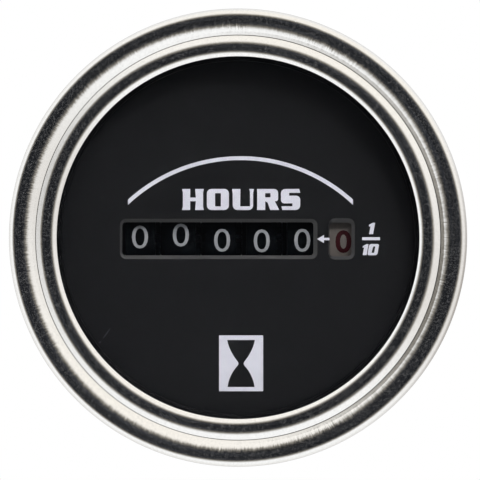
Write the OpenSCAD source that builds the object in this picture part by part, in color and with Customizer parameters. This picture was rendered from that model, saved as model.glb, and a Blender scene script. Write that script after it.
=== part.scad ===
// Round panel hour meter with a chromed double-bead bezel and a train of number wheels.
// The gauge's axis lies along Y and its face looks toward -Y, with the top toward +Z.
// The origin is on the axis, in the plane where the bezel meets the panel.

/* [Case] */
// Outside diameter of the case barrel, which passes through the panel's hole
case_d = 52; // [51.5:0.1:54]
// Thickness of the drawn steel case
case_wall = 0.7; // [0.5:0.05:0.9]
// Depth of the case behind the panel seat
case_depth = 40.6; // [40.4:0.1:45]
// Outside radius of the case's rear corner
case_corner_r = 2; // [1.2:0.1:2.4]

/* [Bezel] */
// How far the bezel stands out beyond the case barrel
bezel_reach = 4; // [3.8:0.05:4.4]
// Height of the outer bead's crest above the panel seat
bezel_rise = 5.95; // [5.9:0.05:6.6]
// Radius of the outer bead's section
outer_bead_r = 1.43; // [1.3:0.01:1.5]
// Height of the flat land between the two beads
land_rise = 5.1; // [5:0.02:5.2]
// Width of the flat land
land_w = 0.45; // [0.35:0.01:0.55]
// Radius of the inner bead's section
inner_bead_r = 1.6; // [1.55:0.01:1.65]
// Height of the inner bead's crest above the panel seat
inner_rise = 5.55; // [5.5:0.01:5.65]
// Thickness of the bezel's sheet
bezel_sheet = 0.5; // [0.4:0.02:0.56]
// Width of the seam groove at the foot of the inner bead
groove_w = 0.14; // [0.1:0.01:0.2]
// Depth of the seam groove below the land
groove_depth = 0.3; // [0.2:0.02:0.34]

/* [Glass and dial] */
// Thickness of the glass
glass_t = 1.5; // [1.2:0.05:1.7]
// How far the bezel's lip reaches in over the edge of the glass
glass_hold = 1.9; // [1.7:0.05:2.1]
// Thickness of the rubber gasket behind the glass
gasket_t = 1; // [0.8:0.05:1.2]
// Height of the spacer ring between gasket and dial
spacer_t = 2.5; // [2.2:0.05:2.7]
// How far the spacer ring reaches in beyond the bezel's lip
spacer_reach = 0.6; // [0.2:0.05:1]
// Thickness of the dial
dial_t = 0.6; // [0.5:0.05:0.8]
// Distance from the panel seat back to the dial's back
dial_drop = 1.5; // [1.2:0.05:1.8]
// Width of the window over the five hour wheels
window_w = 25.07; // [24.5:0.01:25.2]
// Height of the window over the hour wheels
window_h = 4.33; // [4:0.01:4.5]
// Width of the window over the tenths wheel
tenths_window_w = 2.93; // [2.7:0.01:3.1]
// Height of the window over the tenths wheel
tenths_window_h = 4.4; // [4:0.01:4.5]
// Width of the bevel around each window
window_bevel = 0.46; // [0.3:0.01:0.5]
// Corner radius of the windows
window_corner_r = 0.45; // [0.3:0.01:0.6]

/* [Number wheels] */
// Radius of the number drums
drum_r = 8; // [7.9:0.02:8.1]
// Distance from one number wheel to the next
wheel_pitch = 5.34; // [5.3:0.01:5.38]
// Width of the printed band of a wheel
band_w = 3.95; // [3.85:0.01:4]
// Wall thickness of the hollow drum
drum_wall = 1; // [0.8:0.05:1.1]
// Thickness of a wheel's web
web_t = 0.8; // [0.6:0.05:1]
// Left end of the first wheel's band
wheels_left_x = -14.88; // [-15.2:0.02:-14.8]
// Radius of the steel shaft that carries the wheels
shaft_r = 1; // [0.8:0.05:1.2]
// Radius of the wheels' hubs
hub_r = 2.2; // [1.8:0.05:2.6]
// Gap between the dial's back and the drums
drum_gap = 1.2; // [1:0.05:1.6]
// Running clearance of the wheels and gears on their shafts
run_gap = 0.04; // [0.02:0.01:0.08]

/* [Carry gears] */
// Module of the carry gears
carry_module = 0.7; // [0.69:0.002:0.71]
// Width of the toothed ring beside a wheel's band
ring_w = 0.6; // [0.5:0.02:0.64]
// Width of the disc with the two carry teeth
lock_w = 0.62; // [0.5:0.02:0.66]
// Radius of the steel shaft that carries the carry pinions
pinion_shaft_r = 0.8; // [0.6:0.05:1]
// Direction from the wheels' shaft to the carry pinions, up from straight back
pinion_dir = 60; // [50:1:70]

/* [Gear train and motor] */
// Module of the two slow gear pairs
slow_module = 0.3; // [0.295:0.001:0.305]
// Module of the gear pair at the motor
fast_module = 0.25; // [0.245:0.001:0.255]
// Thickness of the gears
gear_t = 0.6; // [0.5:0.02:0.7]
// Radius of the fixed gear pins
gear_pin_r = 0.5; // [0.4:0.02:0.55]
// Radius of the motor's magnet
magnet_r = 1.9; // [1.6:0.05:2.1]
// Length of the motor's magnet
magnet_l = 1.3; // [1:0.05:1.4]
// Length of the coil's winding
coil_l = 11; // [9:0.1:12]
// Outside size of the coil's winding
coil_w = 4.4; // [3.8:0.05:4.6]

/* [Frame and board] */
// Thickness of the movement frame's walls
frame_wall = 1.2; // [1:0.05:1.3]
// Thickness of the circuit board
board_t = 1.6; // [1.2:0.05:1.8]
// Width of the circuit board
board_w = 44; // [42:0.5:45]
// Height of the circuit board
board_h = 28; // [27:0.5:30]

/* [Rear hardware] */
// Distance between the two mounting studs
stud_spacing = 28; // [26:0.5:30]
// Radius of the mounting studs
stud_r = 2; // [1.5:0.1:2.2]
// Length of the mounting studs behind the case
stud_l = 14.5; // [14:0.5:18]
// Thickness of the clamp's steel strip
clamp_t = 1.2; // [1:0.05:1.5]
// Width of the clamp's strip
clamp_w = 12; // [10:0.5:13]
// Gap between the panel seat and the clamp's feet
clamp_gap = 5; // [4.8:0.1:5.4]
// Clear height of the clamp's bridge behind the case
clamp_rise = 5.4; // [5.2:0.1:6]
// Height of the round clamp nuts
nut_h = 3.6; // [3:0.1:4]
// Radius of the round clamp nuts
nut_r = 4; // [3.5:0.1:4.5]
// Width of a blade terminal
blade_w = 6.35; // [4.8:0.05:6.5]
// Thickness of a blade terminal
blade_t = 0.8; // [0.5:0.05:0.9]
// How far a blade terminal stands out behind the case
blade_l = 8.4; // [7:0.1:10]
// Distance between the two blade terminals
blade_spacing = 13; // [12:0.5:14]
// Distance of the blade terminals below the gauge's axis
blade_drop = 12.5; // [11.5:0.1:13.5]

/* [Hidden] */

$fn = 96;
fine_fn = 180;
pin_fn = 32;
corner_fn = 24;

// Clearances and overruns
overrun = 1;
seat_gap = 0.1;
press_gap = 0.02;
end_gap = 0.04;
side_gap = 0.08;

// Bezel, radii from the barrel outward and heights from the panel seat forward
case_r = case_d / 2;
case_in_r = case_r - case_wall;
bezel_r = case_r + bezel_reach;
glass_over = 0.3;
glass_r = case_in_r + glass_over;
lip_r = glass_r - glass_hold;
inner_bead_run = 1.4;
inner_bead_c = lip_r + inner_bead_run;
groove_r = inner_bead_c + inner_bead_run;
outer_bead_c = bezel_r - outer_bead_r;
outer_bead_h = bezel_rise - outer_bead_r;
inner_bead_h = inner_rise - inner_bead_r;
flank_angle = 60;
flank_r = outer_bead_c - outer_bead_r * sin(flank_angle);
flank_h = outer_bead_h + outer_bead_r * cos(flank_angle);
land_in_r = groove_r + groove_w / 2;
land_out_r = land_in_r + land_w;
flange_gap = 0.1;
flange_r = bezel_r - bezel_sheet - flange_gap;
flange_t = case_wall;
lip_gap = 1;
back_lip_r = case_r + lip_gap;
back_lip_chamfer = 0.4;

// Stack from the glass back to the dial
dial_front = dial_t - dial_drop;
spacer_front = dial_front + spacer_t;
gasket_front = spacer_front + gasket_t;
glass_front = gasket_front + glass_t;
dial_gap = 0.1;
dial_r = case_in_r - dial_gap;
gasket_in = 0.2;

// Windows in the dial, centres from the gauge's axis
window_x = -2.675;
window_z = -0.155;
tenths_window_x = 13.405;
tenths_window_z = -0.24;

// Number wheels
hour_wheels = 5;
shaft_y = dial_drop + drum_gap + drum_r;
shaft_z = -0.15;
ring_teeth = 20;
pinion_teeth = 8;
digits_per_turn = 10;
ring_pitch_r = carry_module * ring_teeth / 2;
pinion_pitch_r = carry_module * pinion_teeth / 2;
carry_distance = ring_pitch_r + pinion_pitch_r;
carry_add = 0.75 * carry_module;
carry_ded = 1.05 * carry_module;
ring_rim = 0.7;
ring_in_r = ring_pitch_r - carry_ded - ring_rim;
ring_seat = 0.6;
lock_clear = 0.2;
lock_r = carry_distance - pinion_pitch_r - carry_add - lock_clear;
carry_tip_r = ring_pitch_r + carry_add - 2 * lock_clear;
wheel_tooth_root_share = 0.54;
wheel_tooth_tip_share = 0.2;
pinion_tooth_root_share = 0.4;
pinion_tooth_tip_share = 0.18;
carry_tooth_tip_share = 0.3;
pinion_y = shaft_y + carry_distance * cos(pinion_dir);
pinion_z = shaft_z + carry_distance * sin(pinion_dir);
pinion_side_gap = 0.03;

// The carry teeth stand half a digit past the pinion when the wheels show zero
carry_lead = 360 / digits_per_turn / 2;
long_tooth_step = 2 * 360 / pinion_teeth;
pinion_phase = pinion_dir + 180 + long_tooth_step / 2 - carry_lead / 4;

// Gear train at the right of the tenths wheel
drive_teeth = 48;
slow_teeth = 40;
fast_teeth = 48;
drive_w = 0.68;
add_share = 0.8;
ded_share = 1.1;
slow_add = add_share * slow_module;
slow_ded = ded_share * slow_module;
drive_pitch_r = slow_module * drive_teeth / 2;
slow_pinion_r = slow_module * pinion_teeth / 2;
slow_pitch_r = slow_module * slow_teeth / 2;
fast_pitch_r = fast_module * fast_teeth / 2;
fast_pinion_r = fast_module * pinion_teeth / 2;
drive_rim = 1;
slow_dir = -62;
middle_dir = 25;
rotor_dir = 55;
slow_y = shaft_y + (drive_pitch_r + slow_pinion_r) * cos(slow_dir);
slow_z = shaft_z + (drive_pitch_r + slow_pinion_r) * sin(slow_dir);
middle_y = slow_y + (slow_pitch_r + slow_pinion_r) * cos(middle_dir);
middle_z = slow_z + (slow_pitch_r + slow_pinion_r) * sin(middle_dir);
rotor_y = middle_y + (fast_pitch_r + fast_pinion_r) * cos(rotor_dir);
rotor_z = middle_z + (fast_pitch_r + fast_pinion_r) * sin(rotor_dir);
drive_phase = slow_dir;
slow_phase = mesh_phase(slow_dir, drive_phase, drive_teeth, pinion_teeth);
slow_wheel_phase = middle_dir;
middle_phase = mesh_phase(middle_dir, slow_wheel_phase, slow_teeth, pinion_teeth);
fast_wheel_phase = rotor_dir;
rotor_phase = mesh_phase(rotor_dir, fast_wheel_phase, fast_teeth, pinion_teeth);

// Places along the wheels' shaft
tenths_x = wheels_left_x + hour_wheels * wheel_pitch;
drive_x = tenths_x + band_w;
plane_gap = 0.85;
slow_wheel_x = drive_x + drive_w + plane_gap;
fast_wheel_x = slow_wheel_x + gear_t + plane_gap;
pinion_over = 0.1;
right_wall_x = fast_wheel_x + gear_t + plane_gap;
left_wall_gap = 1.3;
left_wall_x = wheels_left_x - left_wall_gap - frame_wall;
frame_right_x = right_wall_x + frame_wall;
rotor_end_x = frame_right_x - frame_wall / 2;
gear_hub_r = 0.85;
neck_wall = 0.7;
tenths_neck_r = shaft_r + neck_wall;
rotor_shaft_r = 0.35;

// Movement frame
frame_gap = 0.5;
bar_h = 1.8;
bar_d = 1.5;
drum_clear = 0.6;
bar_z = drum_r + drum_clear;
back_wall_y = shaft_y + drum_r + drum_clear + 2 * drum_clear;
back_wall_h = 19;
wall_low_z = -11.4;
wall_high_z = 11.6;
wall_front_y = dial_drop;
bar_rear_y = wall_front_y + bar_d;
post_r = 2.2;
post_tip_r = 1.5;
left_post_x = -17.5;
right_post_x = 19.6;
post_z = 9;
screw_r = 0.7;
screw_l = 4.4;
screw_head_r = 1.6;
screw_head_h = 0.9;
case_back_y = case_depth - case_wall;
board_gap = 3.8;
board_y = case_back_y - board_gap - board_t;

// Motor
motor_wall_t = 1;
post_start_y = back_wall_y + motor_wall_t;
stator_t = 1;
motor_wall_x = drive_x - pinion_over - motor_wall_t;
stator_x = motor_wall_x - stator_t;
stator_w = 5.8;
wall_rear_y = rotor_y + stator_w / 2;
stator_leg = 1.7;
stator_half = 8.9;
core_w = 1.6;
coil_gap = 0.3;
magnet_gap = 0.5;
flange_over = 0.4;
bobbin_wall = 0.35;
bobbin_flange_t = 0.5;
core_y = board_y - coil_gap - coil_w / 2 - flange_over - core_w / 2;
coil_mid_y = core_y + core_w / 2;
coil_mid_x = stator_x + stator_t / 2;
stator_front_y = rotor_y - stator_w / 2;

// Board parts
can_r = 1;
can_l = 6;
chip_w = 5;
chip_d = 4;
chip_h = 1.5;
cap_r = 3.1;
cap_l = 9;
res_l = 3.2;
res_w = 1.6;
res_h = 0.6;
res_gap = 0.15;
res_top_z = -coil_l / 2 - bobbin_flange_t - res_gap;
board_chord_r = 23.4;
post_hole_gap = 0.15;

// Rear hardware
stud_flange_r = 3.2;
stud_flange_t = 0.6;
thread_gap = 0.05;
bridge_y = case_depth + clamp_rise;
leg_gap = 1.2;
leg_x = case_r + leg_gap;
washer_r = 4.2;
washer_t = 0.8;
hole_gap = 0.3;
insulator_w = 9;
insulator_h = 3.4;
insulator_t = 1.4;
insulator_neck = 0.8;
neck_w = insulator_w - 2 * insulator_neck;
neck_h = insulator_h - insulator_neck;
blade_inset = 0.6;
blade_hole_r = 0.9;
blade_notch = 0.9;

function polar(r, a) = [r * cos(a), r * sin(a)];
function wheel_x(i) = wheels_left_x + (i - 1) * wheel_pitch;

// Phase of gear b that meshes with gear a in direction dir from a to b
function mesh_phase(dir, phase_a, teeth_a, teeth_b) =
    dir + 180 - (0.5 - (dir - phase_a) * teeth_a / 360) * 360 / teeth_b;

// Outline of a gear with straight-sided teeth, count of them drawn out of teeth places
function gear_outline(teeth, root, tip, root_share, tip_share, phase) = [
    for (i = [0 : teeth - 1])
        let (a = phase + i * 360 / teeth)
        let (hr = root_share * 180 / teeth)
        let (ht = tip_share * 180 / teeth)
        each [polar(root, a - hr), polar(tip, a - ht), polar(tip, a + ht), polar(root, a + hr)]
];

// One tooth that reaches well into the body it stands on
module tooth(teeth, foot, root, tip, root_share, tip_share, phase) {
    hr = root_share * 180 / teeth;
    ht = tip_share * 180 / teeth;
    polygon([
        polar(foot, phase - hr),
        polar(root, phase - hr),
        polar(tip, phase - ht),
        polar(tip, phase + ht),
        polar(root, phase + hr),
        polar(foot, phase + hr)
    ]);
}

// Face frame: x right, y up, z toward the viewer
module facing() {
    rotate([90, 0, 0]) children();
}

// Shaft frame: the drawing plane is Y-Z of the gauge and its height runs along X
module along_x(y, z, x) {
    rotate([90, 0, 90]) translate([y, z, x]) children();
}

// Back frame: heights run backward from the face
module backward(x, y, z) {
    translate([x, y, z]) rotate([-90, 0, 0]) children();
}

module ring_2d(outer, inner, low, high) {
    translate([inner, low]) square([outer - inner, high - low]);
}

// Bezel

module bezel_skin_2d() {
    // outer bead, flank, land and inner bead as solid outlines
    difference() {
        union() {
            translate([outer_bead_c, outer_bead_h]) circle(r = outer_bead_r, $fn = fine_fn);
            translate([outer_bead_c, 0]) square([outer_bead_r, outer_bead_h]);
            polygon([
                [outer_bead_c, outer_bead_h],
                [flank_r, flank_h],
                [land_out_r, land_rise],
                [land_in_r, land_rise],
                [land_in_r, land_rise - groove_depth],
                [groove_r - groove_w / 2, land_rise - groove_depth],
                [groove_r - groove_w / 2, glass_front],
                [outer_bead_c, glass_front]
            ]);
            intersection() {
                translate([inner_bead_c, inner_bead_h]) circle(r = inner_bead_r, $fn = fine_fn);
                translate([lip_r, glass_front]) square([groove_r - lip_r, inner_rise]);
            }
            translate([lip_r, glass_front])
                square([bezel_sheet / 2, inner_bead_h - glass_front + inner_bead_r / 2]);
            translate([back_lip_r, 0]) square([bezel_r - back_lip_r - back_lip_chamfer, bezel_sheet]);
        }
        bezel_hollow_2d();
        polygon([
            [bezel_r - back_lip_chamfer, -overrun],
            [bezel_r - back_lip_chamfer, 0],
            [bezel_r, back_lip_chamfer],
            [bezel_r + overrun, back_lip_chamfer],
            [bezel_r + overrun, -overrun]
        ]);
    }
}

module bezel_hollow_2d() {
    // the inside of the pressed sheet
    translate([outer_bead_c, outer_bead_h]) circle(r = outer_bead_r - bezel_sheet, $fn = fine_fn);
    translate([glass_r + seat_gap, bezel_sheet])
        square([bezel_r - bezel_sheet - glass_r - seat_gap, land_rise - groove_depth - 2 * bezel_sheet]);
    translate([outer_bead_c - outer_bead_r + bezel_sheet, bezel_sheet])
        square([2 * outer_bead_r - 2 * bezel_sheet, outer_bead_h - bezel_sheet]);
    intersection() {
        translate([inner_bead_c, inner_bead_h]) circle(r = inner_bead_r - bezel_sheet, $fn = fine_fn);
        translate([lip_r, 0]) square([inner_bead_run * 2 - bezel_sheet, inner_rise]);
    }
    translate([0, 0]) square([lip_r, bezel_rise]);
}

module bezel() {
    color("gainsboro") facing() rotate_extrude($fn = fine_fn) bezel_skin_2d();
}

// Glass, gasket, spacer and dial

module glass() {
    color("azure", 0.3) facing() translate([0, 0, gasket_front]) cylinder(r = glass_r, h = glass_t);
}

module glass_gasket() {
    color("black") facing() rotate_extrude()
        ring_2d(glass_r, lip_r + gasket_in, spacer_front, gasket_front);
}

module spacer_ring() {
    color("dimgray") facing() rotate_extrude()
        ring_2d(dial_r, lip_r - spacer_reach, dial_front, spacer_front);
}

module rounded_plate(w, h, r, t) {
    hull()
        for (sx = [-1, 1])
            for (sy = [-1, 1])
                translate([sx * (w / 2 - r), sy * (h / 2 - r), 0])
                    cylinder(r = r, h = t, $fn = corner_fn);
}

// A window whose rim slopes back from the dial's front to its back
module window_cut(w, h) {
    skin = dial_t / 10;
    translate([0, 0, -overrun]) rounded_plate(w, h, window_corner_r, overrun + dial_t / 2);
    hull() {
        translate([0, 0, skin]) rounded_plate(w, h, window_corner_r, skin);
        translate([0, 0, dial_t])
            rounded_plate(w + 2 * window_bevel, h + 2 * window_bevel, window_corner_r + window_bevel, skin);
    }
}

module dial() {
    color("#1b1c1e") facing() translate([0, 0, -dial_drop]) difference() {
        cylinder(r = dial_r, h = dial_t);
        translate([window_x, window_z, 0]) window_cut(window_w, window_h);
        translate([tenths_window_x, tenths_window_z, 0]) window_cut(tenths_window_w, tenths_window_h);
    }
}

// Case

module cup_2d(r, depth, corner) {
    translate([0, -depth]) square([r - corner, depth]);
    translate([0, corner - depth]) square([r, depth - corner]);
    translate([r - corner, corner - depth]) circle(r = corner, $fn = fine_fn);
}

module case_cup() {
    color("#3a3b3d") difference() {
        facing() rotate_extrude($fn = fine_fn) difference() {
            union() {
                cup_2d(case_r, case_depth, case_corner_r);
                translate([0, 0]) square([case_r, bezel_sheet + flange_t]);
                translate([0, bezel_sheet]) square([flange_r, flange_t]);
            }
            cup_2d(case_in_r, case_back_y, case_corner_r - case_wall);
            translate([0, -overrun]) square([case_in_r, overrun + bezel_sheet + flange_t + overrun]);
            translate([-case_r, -case_depth - overrun]) square([case_r, 2 * case_depth]);
        }
        terminal_places() translate([-neck_w / 2, -neck_h / 2, -overrun])
            cube([neck_w, neck_h, case_wall + 2 * overrun]);
        post_places(case_back_y - overrun)
            cylinder(r = screw_r + hole_gap, h = case_wall + 2 * overrun, $fn = pin_fn);
    }
}

// Movement frame

module post_places(y) {
    backward(left_post_x, y, -post_z) children();
    backward(right_post_x, y, post_z) children();
}

module frame_box(x0, x1, y0, y1, z0, z1) {
    translate([x0, y0, z0]) cube([x1 - x0, y1 - y0, z1 - z0]);
}

module frame_blank() {
    // side walls
    frame_box(left_wall_x, left_wall_x + frame_wall, wall_front_y, wall_rear_y, wall_low_z, wall_high_z);
    frame_box(right_wall_x, frame_right_x, wall_front_y, wall_rear_y, wall_low_z, wall_high_z);
    // front bars that carry the dial
    frame_box(left_wall_x, frame_right_x, wall_front_y, bar_rear_y, bar_z + bar_h, bar_z + 2 * bar_h);
    frame_box(left_wall_x, frame_right_x, wall_front_y, bar_rear_y, -bar_z - bar_h, -bar_z);
    // wall behind the number wheels and the motor's wall
    frame_box(left_wall_x, drive_x - pinion_over, back_wall_y, back_wall_y + motor_wall_t,
        -back_wall_h / 2, back_wall_h / 2);
    frame_box(motor_wall_x, motor_wall_x + motor_wall_t, back_wall_y, wall_rear_y,
        -back_wall_h / 2, back_wall_h / 2);
    // bar from the motor's wall to the right wall
    frame_box(motor_wall_x, frame_right_x, back_wall_y, back_wall_y + bar_h,
        rotor_z + fast_pitch_r, rotor_z + fast_pitch_r + bar_h);
    // boss beside the first wheel
    along_x(shaft_y, shaft_z, left_wall_x) cylinder(r = hub_r, h = frame_wall + left_wall_gap - side_gap);
}

module movement_frame() {
    color("#2b2c2e") difference() {
        union() {
            intersection() {
                frame_blank();
                facing() translate([0, 0, -case_depth])
                    cylinder(r = case_in_r - frame_gap, h = 2 * case_depth);
            }
            post_places(post_start_y) cylinder(r = post_r, h = board_y - post_start_y, $fn = pin_fn);
            post_places(post_start_y)
                cylinder(r = post_tip_r, h = case_back_y - post_start_y, $fn = pin_fn);
        }
        along_x(shaft_y, shaft_z, left_wall_x - overrun)
            cylinder(r = shaft_r + press_gap, h = frame_right_x - left_wall_x + 2 * overrun, $fn = pin_fn);
        along_x(pinion_y, pinion_z, left_wall_x - overrun)
            cylinder(r = pinion_shaft_r + press_gap, h = frame_right_x - left_wall_x + 2 * overrun, $fn = pin_fn);
        along_x(slow_y, slow_z, right_wall_x - overrun)
            cylinder(r = gear_pin_r + press_gap, h = frame_wall + 2 * overrun, $fn = pin_fn);
        along_x(middle_y, middle_z, right_wall_x - overrun)
            cylinder(r = gear_pin_r + press_gap, h = frame_wall + 2 * overrun, $fn = pin_fn);
        along_x(rotor_y, rotor_z, motor_wall_x - overrun)
            cylinder(r = rotor_shaft_r + run_gap, h = overrun + rotor_end_x - motor_wall_x, $fn = pin_fn);
        post_places(case_back_y - screw_l)
            cylinder(r = screw_r + press_gap, h = screw_l + overrun, $fn = pin_fn);
    }
}

module wheel_shaft() {
    color("silver") along_x(shaft_y, shaft_z, left_wall_x)
        cylinder(r = shaft_r, h = frame_right_x - left_wall_x, $fn = pin_fn);
}

module pinion_shaft() {
    color("silver") along_x(pinion_y, pinion_z, left_wall_x)
        cylinder(r = pinion_shaft_r, h = frame_right_x - left_wall_x, $fn = pin_fn);
}

// Number wheels

module drum() {
    difference() {
        cylinder(r = drum_r, h = band_w);
        translate([0, 0, web_t]) cylinder(r = drum_r - drum_wall, h = band_w);
    }
    translate([0, 0, band_w - ring_seat]) difference() {
        cylinder(r = drum_r - drum_wall / 2, h = ring_seat);
        translate([0, 0, -overrun]) cylinder(r = ring_in_r, h = ring_seat + 2 * overrun);
    }
}

module carry_disc() {
    translate([0, 0, -lock_w]) linear_extrude(lock_w + web_t / 2) {
        circle(r = lock_r);
        for (s = [-1, 1])
            tooth(ring_teeth, ring_in_r, ring_pitch_r - carry_ded, carry_tip_r, wheel_tooth_root_share,
                carry_tooth_tip_share, pinion_dir + carry_lead + s * 180 / ring_teeth);
    }
}

module count_ring() {
    translate([0, 0, band_w - ring_seat / 2]) linear_extrude(ring_seat / 2 + ring_w) difference() {
        polygon(gear_outline(ring_teeth, ring_pitch_r - carry_ded, ring_pitch_r + carry_add,
            wheel_tooth_root_share, wheel_tooth_tip_share,
            mesh_phase(pinion_dir + 180, pinion_phase, pinion_teeth, ring_teeth)));
        circle(r = ring_in_r);
    }
}

module drive_ring() {
    translate([0, 0, band_w - ring_seat / 2]) linear_extrude(ring_seat / 2 + drive_w) difference() {
        polygon(gear_outline(drive_teeth, drive_pitch_r - slow_ded, drive_pitch_r + slow_add,
            wheel_tooth_root_share, wheel_tooth_tip_share, drive_phase));
        circle(r = drive_pitch_r - slow_ded - drive_rim);
    }
}

module hour_wheel(i) {
    along_x(shaft_y, shaft_z, wheel_x(i)) difference() {
        union() {
            drum();
            count_ring();
            cylinder(r = hub_r, h = wheel_pitch - lock_w - end_gap);
            if (i > 1) carry_disc();
        }
        translate([0, 0, -lock_w - overrun])
            cylinder(r = shaft_r + run_gap, h = wheel_pitch + lock_w + 2 * overrun, $fn = pin_fn);
    }
}

module number_wheel_1() { color("#17181a") hour_wheel(1); }
module number_wheel_2() { color("#17181a") hour_wheel(2); }
module number_wheel_3() { color("#17181a") hour_wheel(3); }
module number_wheel_4() { color("#17181a") hour_wheel(4); }
module number_wheel_5() { color("#17181a") hour_wheel(5); }

module tenths_wheel() {
    color("#b9b6ad") along_x(shaft_y, shaft_z, tenths_x) difference() {
        union() {
            drum();
            drive_ring();
            cylinder(r = hub_r, h = band_w);
            cylinder(r = tenths_neck_r, h = right_wall_x - tenths_x - side_gap);
            carry_disc();
        }
        translate([0, 0, -lock_w - overrun])
            cylinder(r = shaft_r + run_gap, h = right_wall_x - tenths_x + lock_w + 2 * overrun, $fn = pin_fn);
    }
}

module carry_pinion(i) {
    full_w = wheel_pitch - band_w - 2 * pinion_side_gap;
    color("#e8e6df") along_x(pinion_y, pinion_z, wheel_x(i) + band_w + pinion_side_gap) difference() {
        union() {
            linear_extrude(ring_w)
                polygon(gear_outline(pinion_teeth, pinion_pitch_r - carry_ded, pinion_pitch_r + carry_add,
                    pinion_tooth_root_share, pinion_tooth_tip_share, pinion_phase));
            linear_extrude(full_w) {
                circle(r = pinion_pitch_r - carry_ded, $fn = pin_fn);
                for (k = [0 : pinion_teeth / 2 - 1])
                    tooth(pinion_teeth, pinion_shaft_r * 2, pinion_pitch_r - carry_ded,
                        pinion_pitch_r + carry_add, pinion_tooth_root_share, pinion_tooth_tip_share,
                        pinion_phase + k * long_tooth_step);
            }
        }
        translate([0, 0, -overrun])
            cylinder(r = pinion_shaft_r + run_gap, h = wheel_pitch + 2 * overrun, $fn = pin_fn);
    }
}

module carry_pinion_1() { carry_pinion(1); }
module carry_pinion_2() { carry_pinion(2); }
module carry_pinion_3() { carry_pinion(3); }
module carry_pinion_4() { carry_pinion(4); }
module carry_pinion_5() { carry_pinion(5); }

// Gear train

module small_gear(module_size, teeth, phase, h) {
    r = module_size * teeth / 2;
    linear_extrude(h) polygon(gear_outline(teeth, r - ded_share * module_size, r + add_share * module_size,
        teeth > pinion_teeth ? wheel_tooth_root_share : pinion_tooth_root_share,
        teeth > pinion_teeth ? wheel_tooth_tip_share : pinion_tooth_tip_share, phase));
}

module gear_pins() {
    color("silver") {
        along_x(slow_y, slow_z, drive_x + side_gap)
            cylinder(r = gear_pin_r, h = frame_right_x - drive_x - side_gap, $fn = pin_fn);
        along_x(middle_y, middle_z, slow_wheel_x - pinion_over)
            cylinder(r = gear_pin_r, h = frame_right_x - slow_wheel_x + pinion_over, $fn = pin_fn);
    }
}

module slow_gear() {
    x0 = drive_x + side_gap;
    color("#e8e6df") along_x(slow_y, slow_z, x0) difference() {
        union() {
            small_gear(slow_module, pinion_teeth, slow_phase, slow_wheel_x - x0 + gear_t / 2);
            translate([0, 0, slow_wheel_x - x0])
                small_gear(slow_module, slow_teeth, slow_wheel_phase, gear_t);
            translate([0, 0, slow_wheel_x - x0])
                cylinder(r = gear_hub_r, h = right_wall_x - slow_wheel_x - side_gap);
        }
        translate([0, 0, -overrun])
            cylinder(r = gear_pin_r + run_gap, h = right_wall_x - x0 + 2 * overrun, $fn = pin_fn);
    }
}

module middle_gear() {
    x0 = slow_wheel_x - pinion_over;
    color("#e8e6df") along_x(middle_y, middle_z, x0) difference() {
        union() {
            small_gear(slow_module, pinion_teeth, middle_phase, fast_wheel_x - x0 + gear_t / 2);
            translate([0, 0, fast_wheel_x - x0])
                small_gear(fast_module, fast_teeth, fast_wheel_phase, gear_t);
            translate([0, 0, fast_wheel_x - x0])
                cylinder(r = gear_hub_r, h = right_wall_x - fast_wheel_x - side_gap);
        }
        translate([0, 0, -overrun])
            cylinder(r = gear_pin_r + run_gap, h = right_wall_x - x0 + 2 * overrun, $fn = pin_fn);
    }
}

// Motor

module rotor_pinion() {
    color("#e8e6df") {
        along_x(rotor_y, rotor_z, fast_wheel_x - pinion_over)
            small_gear(fast_module, pinion_teeth, rotor_phase, gear_t + 2 * pinion_over);
        along_x(rotor_y, rotor_z, motor_wall_x - side_gap)
            cylinder(r = rotor_shaft_r, h = rotor_end_x - motor_wall_x, $fn = pin_fn);
        along_x(rotor_y, rotor_z, motor_wall_x + motor_wall_t + side_gap)
            cylinder(r = 2 * rotor_shaft_r, h = fast_wheel_x - motor_wall_x - motor_wall_t - side_gap, $fn = pin_fn);
    }
}

module rotor_magnet() {
    color("#4a4b4f") along_x(rotor_y, rotor_z, motor_wall_x - side_gap - magnet_l)
        cylinder(r = magnet_r, h = magnet_l);
}

module stator() {
    color("#8b8d90") along_x(0, 0, stator_x) linear_extrude(stator_t) difference() {
        translate([stator_front_y, -stator_half])
            square([core_y + core_w - stator_front_y, 2 * stator_half]);
        translate([rotor_y + stator_w / 2, stator_leg - stator_half])
            square([core_y - rotor_y - stator_w / 2, 2 * stator_half - 2 * stator_leg]);
        translate([rotor_y, rotor_z]) circle(r = magnet_r + magnet_gap);
    }
}

module bobbin_box(w, l) {
    translate([coil_mid_x - w / 2, coil_mid_y - w / 2, -l / 2]) cube([w, w, l]);
}

module core_cut() {
    translate([stator_x - press_gap, core_y - press_gap, -stator_half])
        cube([stator_t + 2 * press_gap, core_w + 2 * press_gap, 2 * stator_half]);
}

module coil_bobbin() {
    tube_w = core_w + 2 * bobbin_wall;
    flange_w = coil_w + 2 * flange_over;
    color("#f0eee6") difference() {
        union() {
            bobbin_box(tube_w, coil_l + bobbin_flange_t);
            for (s = [-1, 1])
                translate([0, 0, s * (coil_l + bobbin_flange_t) / 2]) bobbin_box(flange_w, bobbin_flange_t);
        }
        core_cut();
    }
}

module coil_winding() {
    tube_w = core_w + 2 * bobbin_wall;
    color("#9a4a22") difference() {
        bobbin_box(coil_w, coil_l - 2 * press_gap);
        bobbin_box(tube_w + 2 * press_gap, coil_l);
    }
}

// Circuit board

module circuit_board() {
    color("#1f5a36") difference() {
        intersection() {
            backward(0, board_y, 0) cylinder(r = board_chord_r, h = board_t);
            translate([-board_w / 2, board_y - overrun, -board_h / 2])
                cube([board_w, board_t + 2 * overrun, board_h]);
        }
        post_places(board_y - overrun)
            cylinder(r = post_tip_r + post_hole_gap, h = board_t + 2 * overrun, $fn = pin_fn);
    }
}

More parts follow.
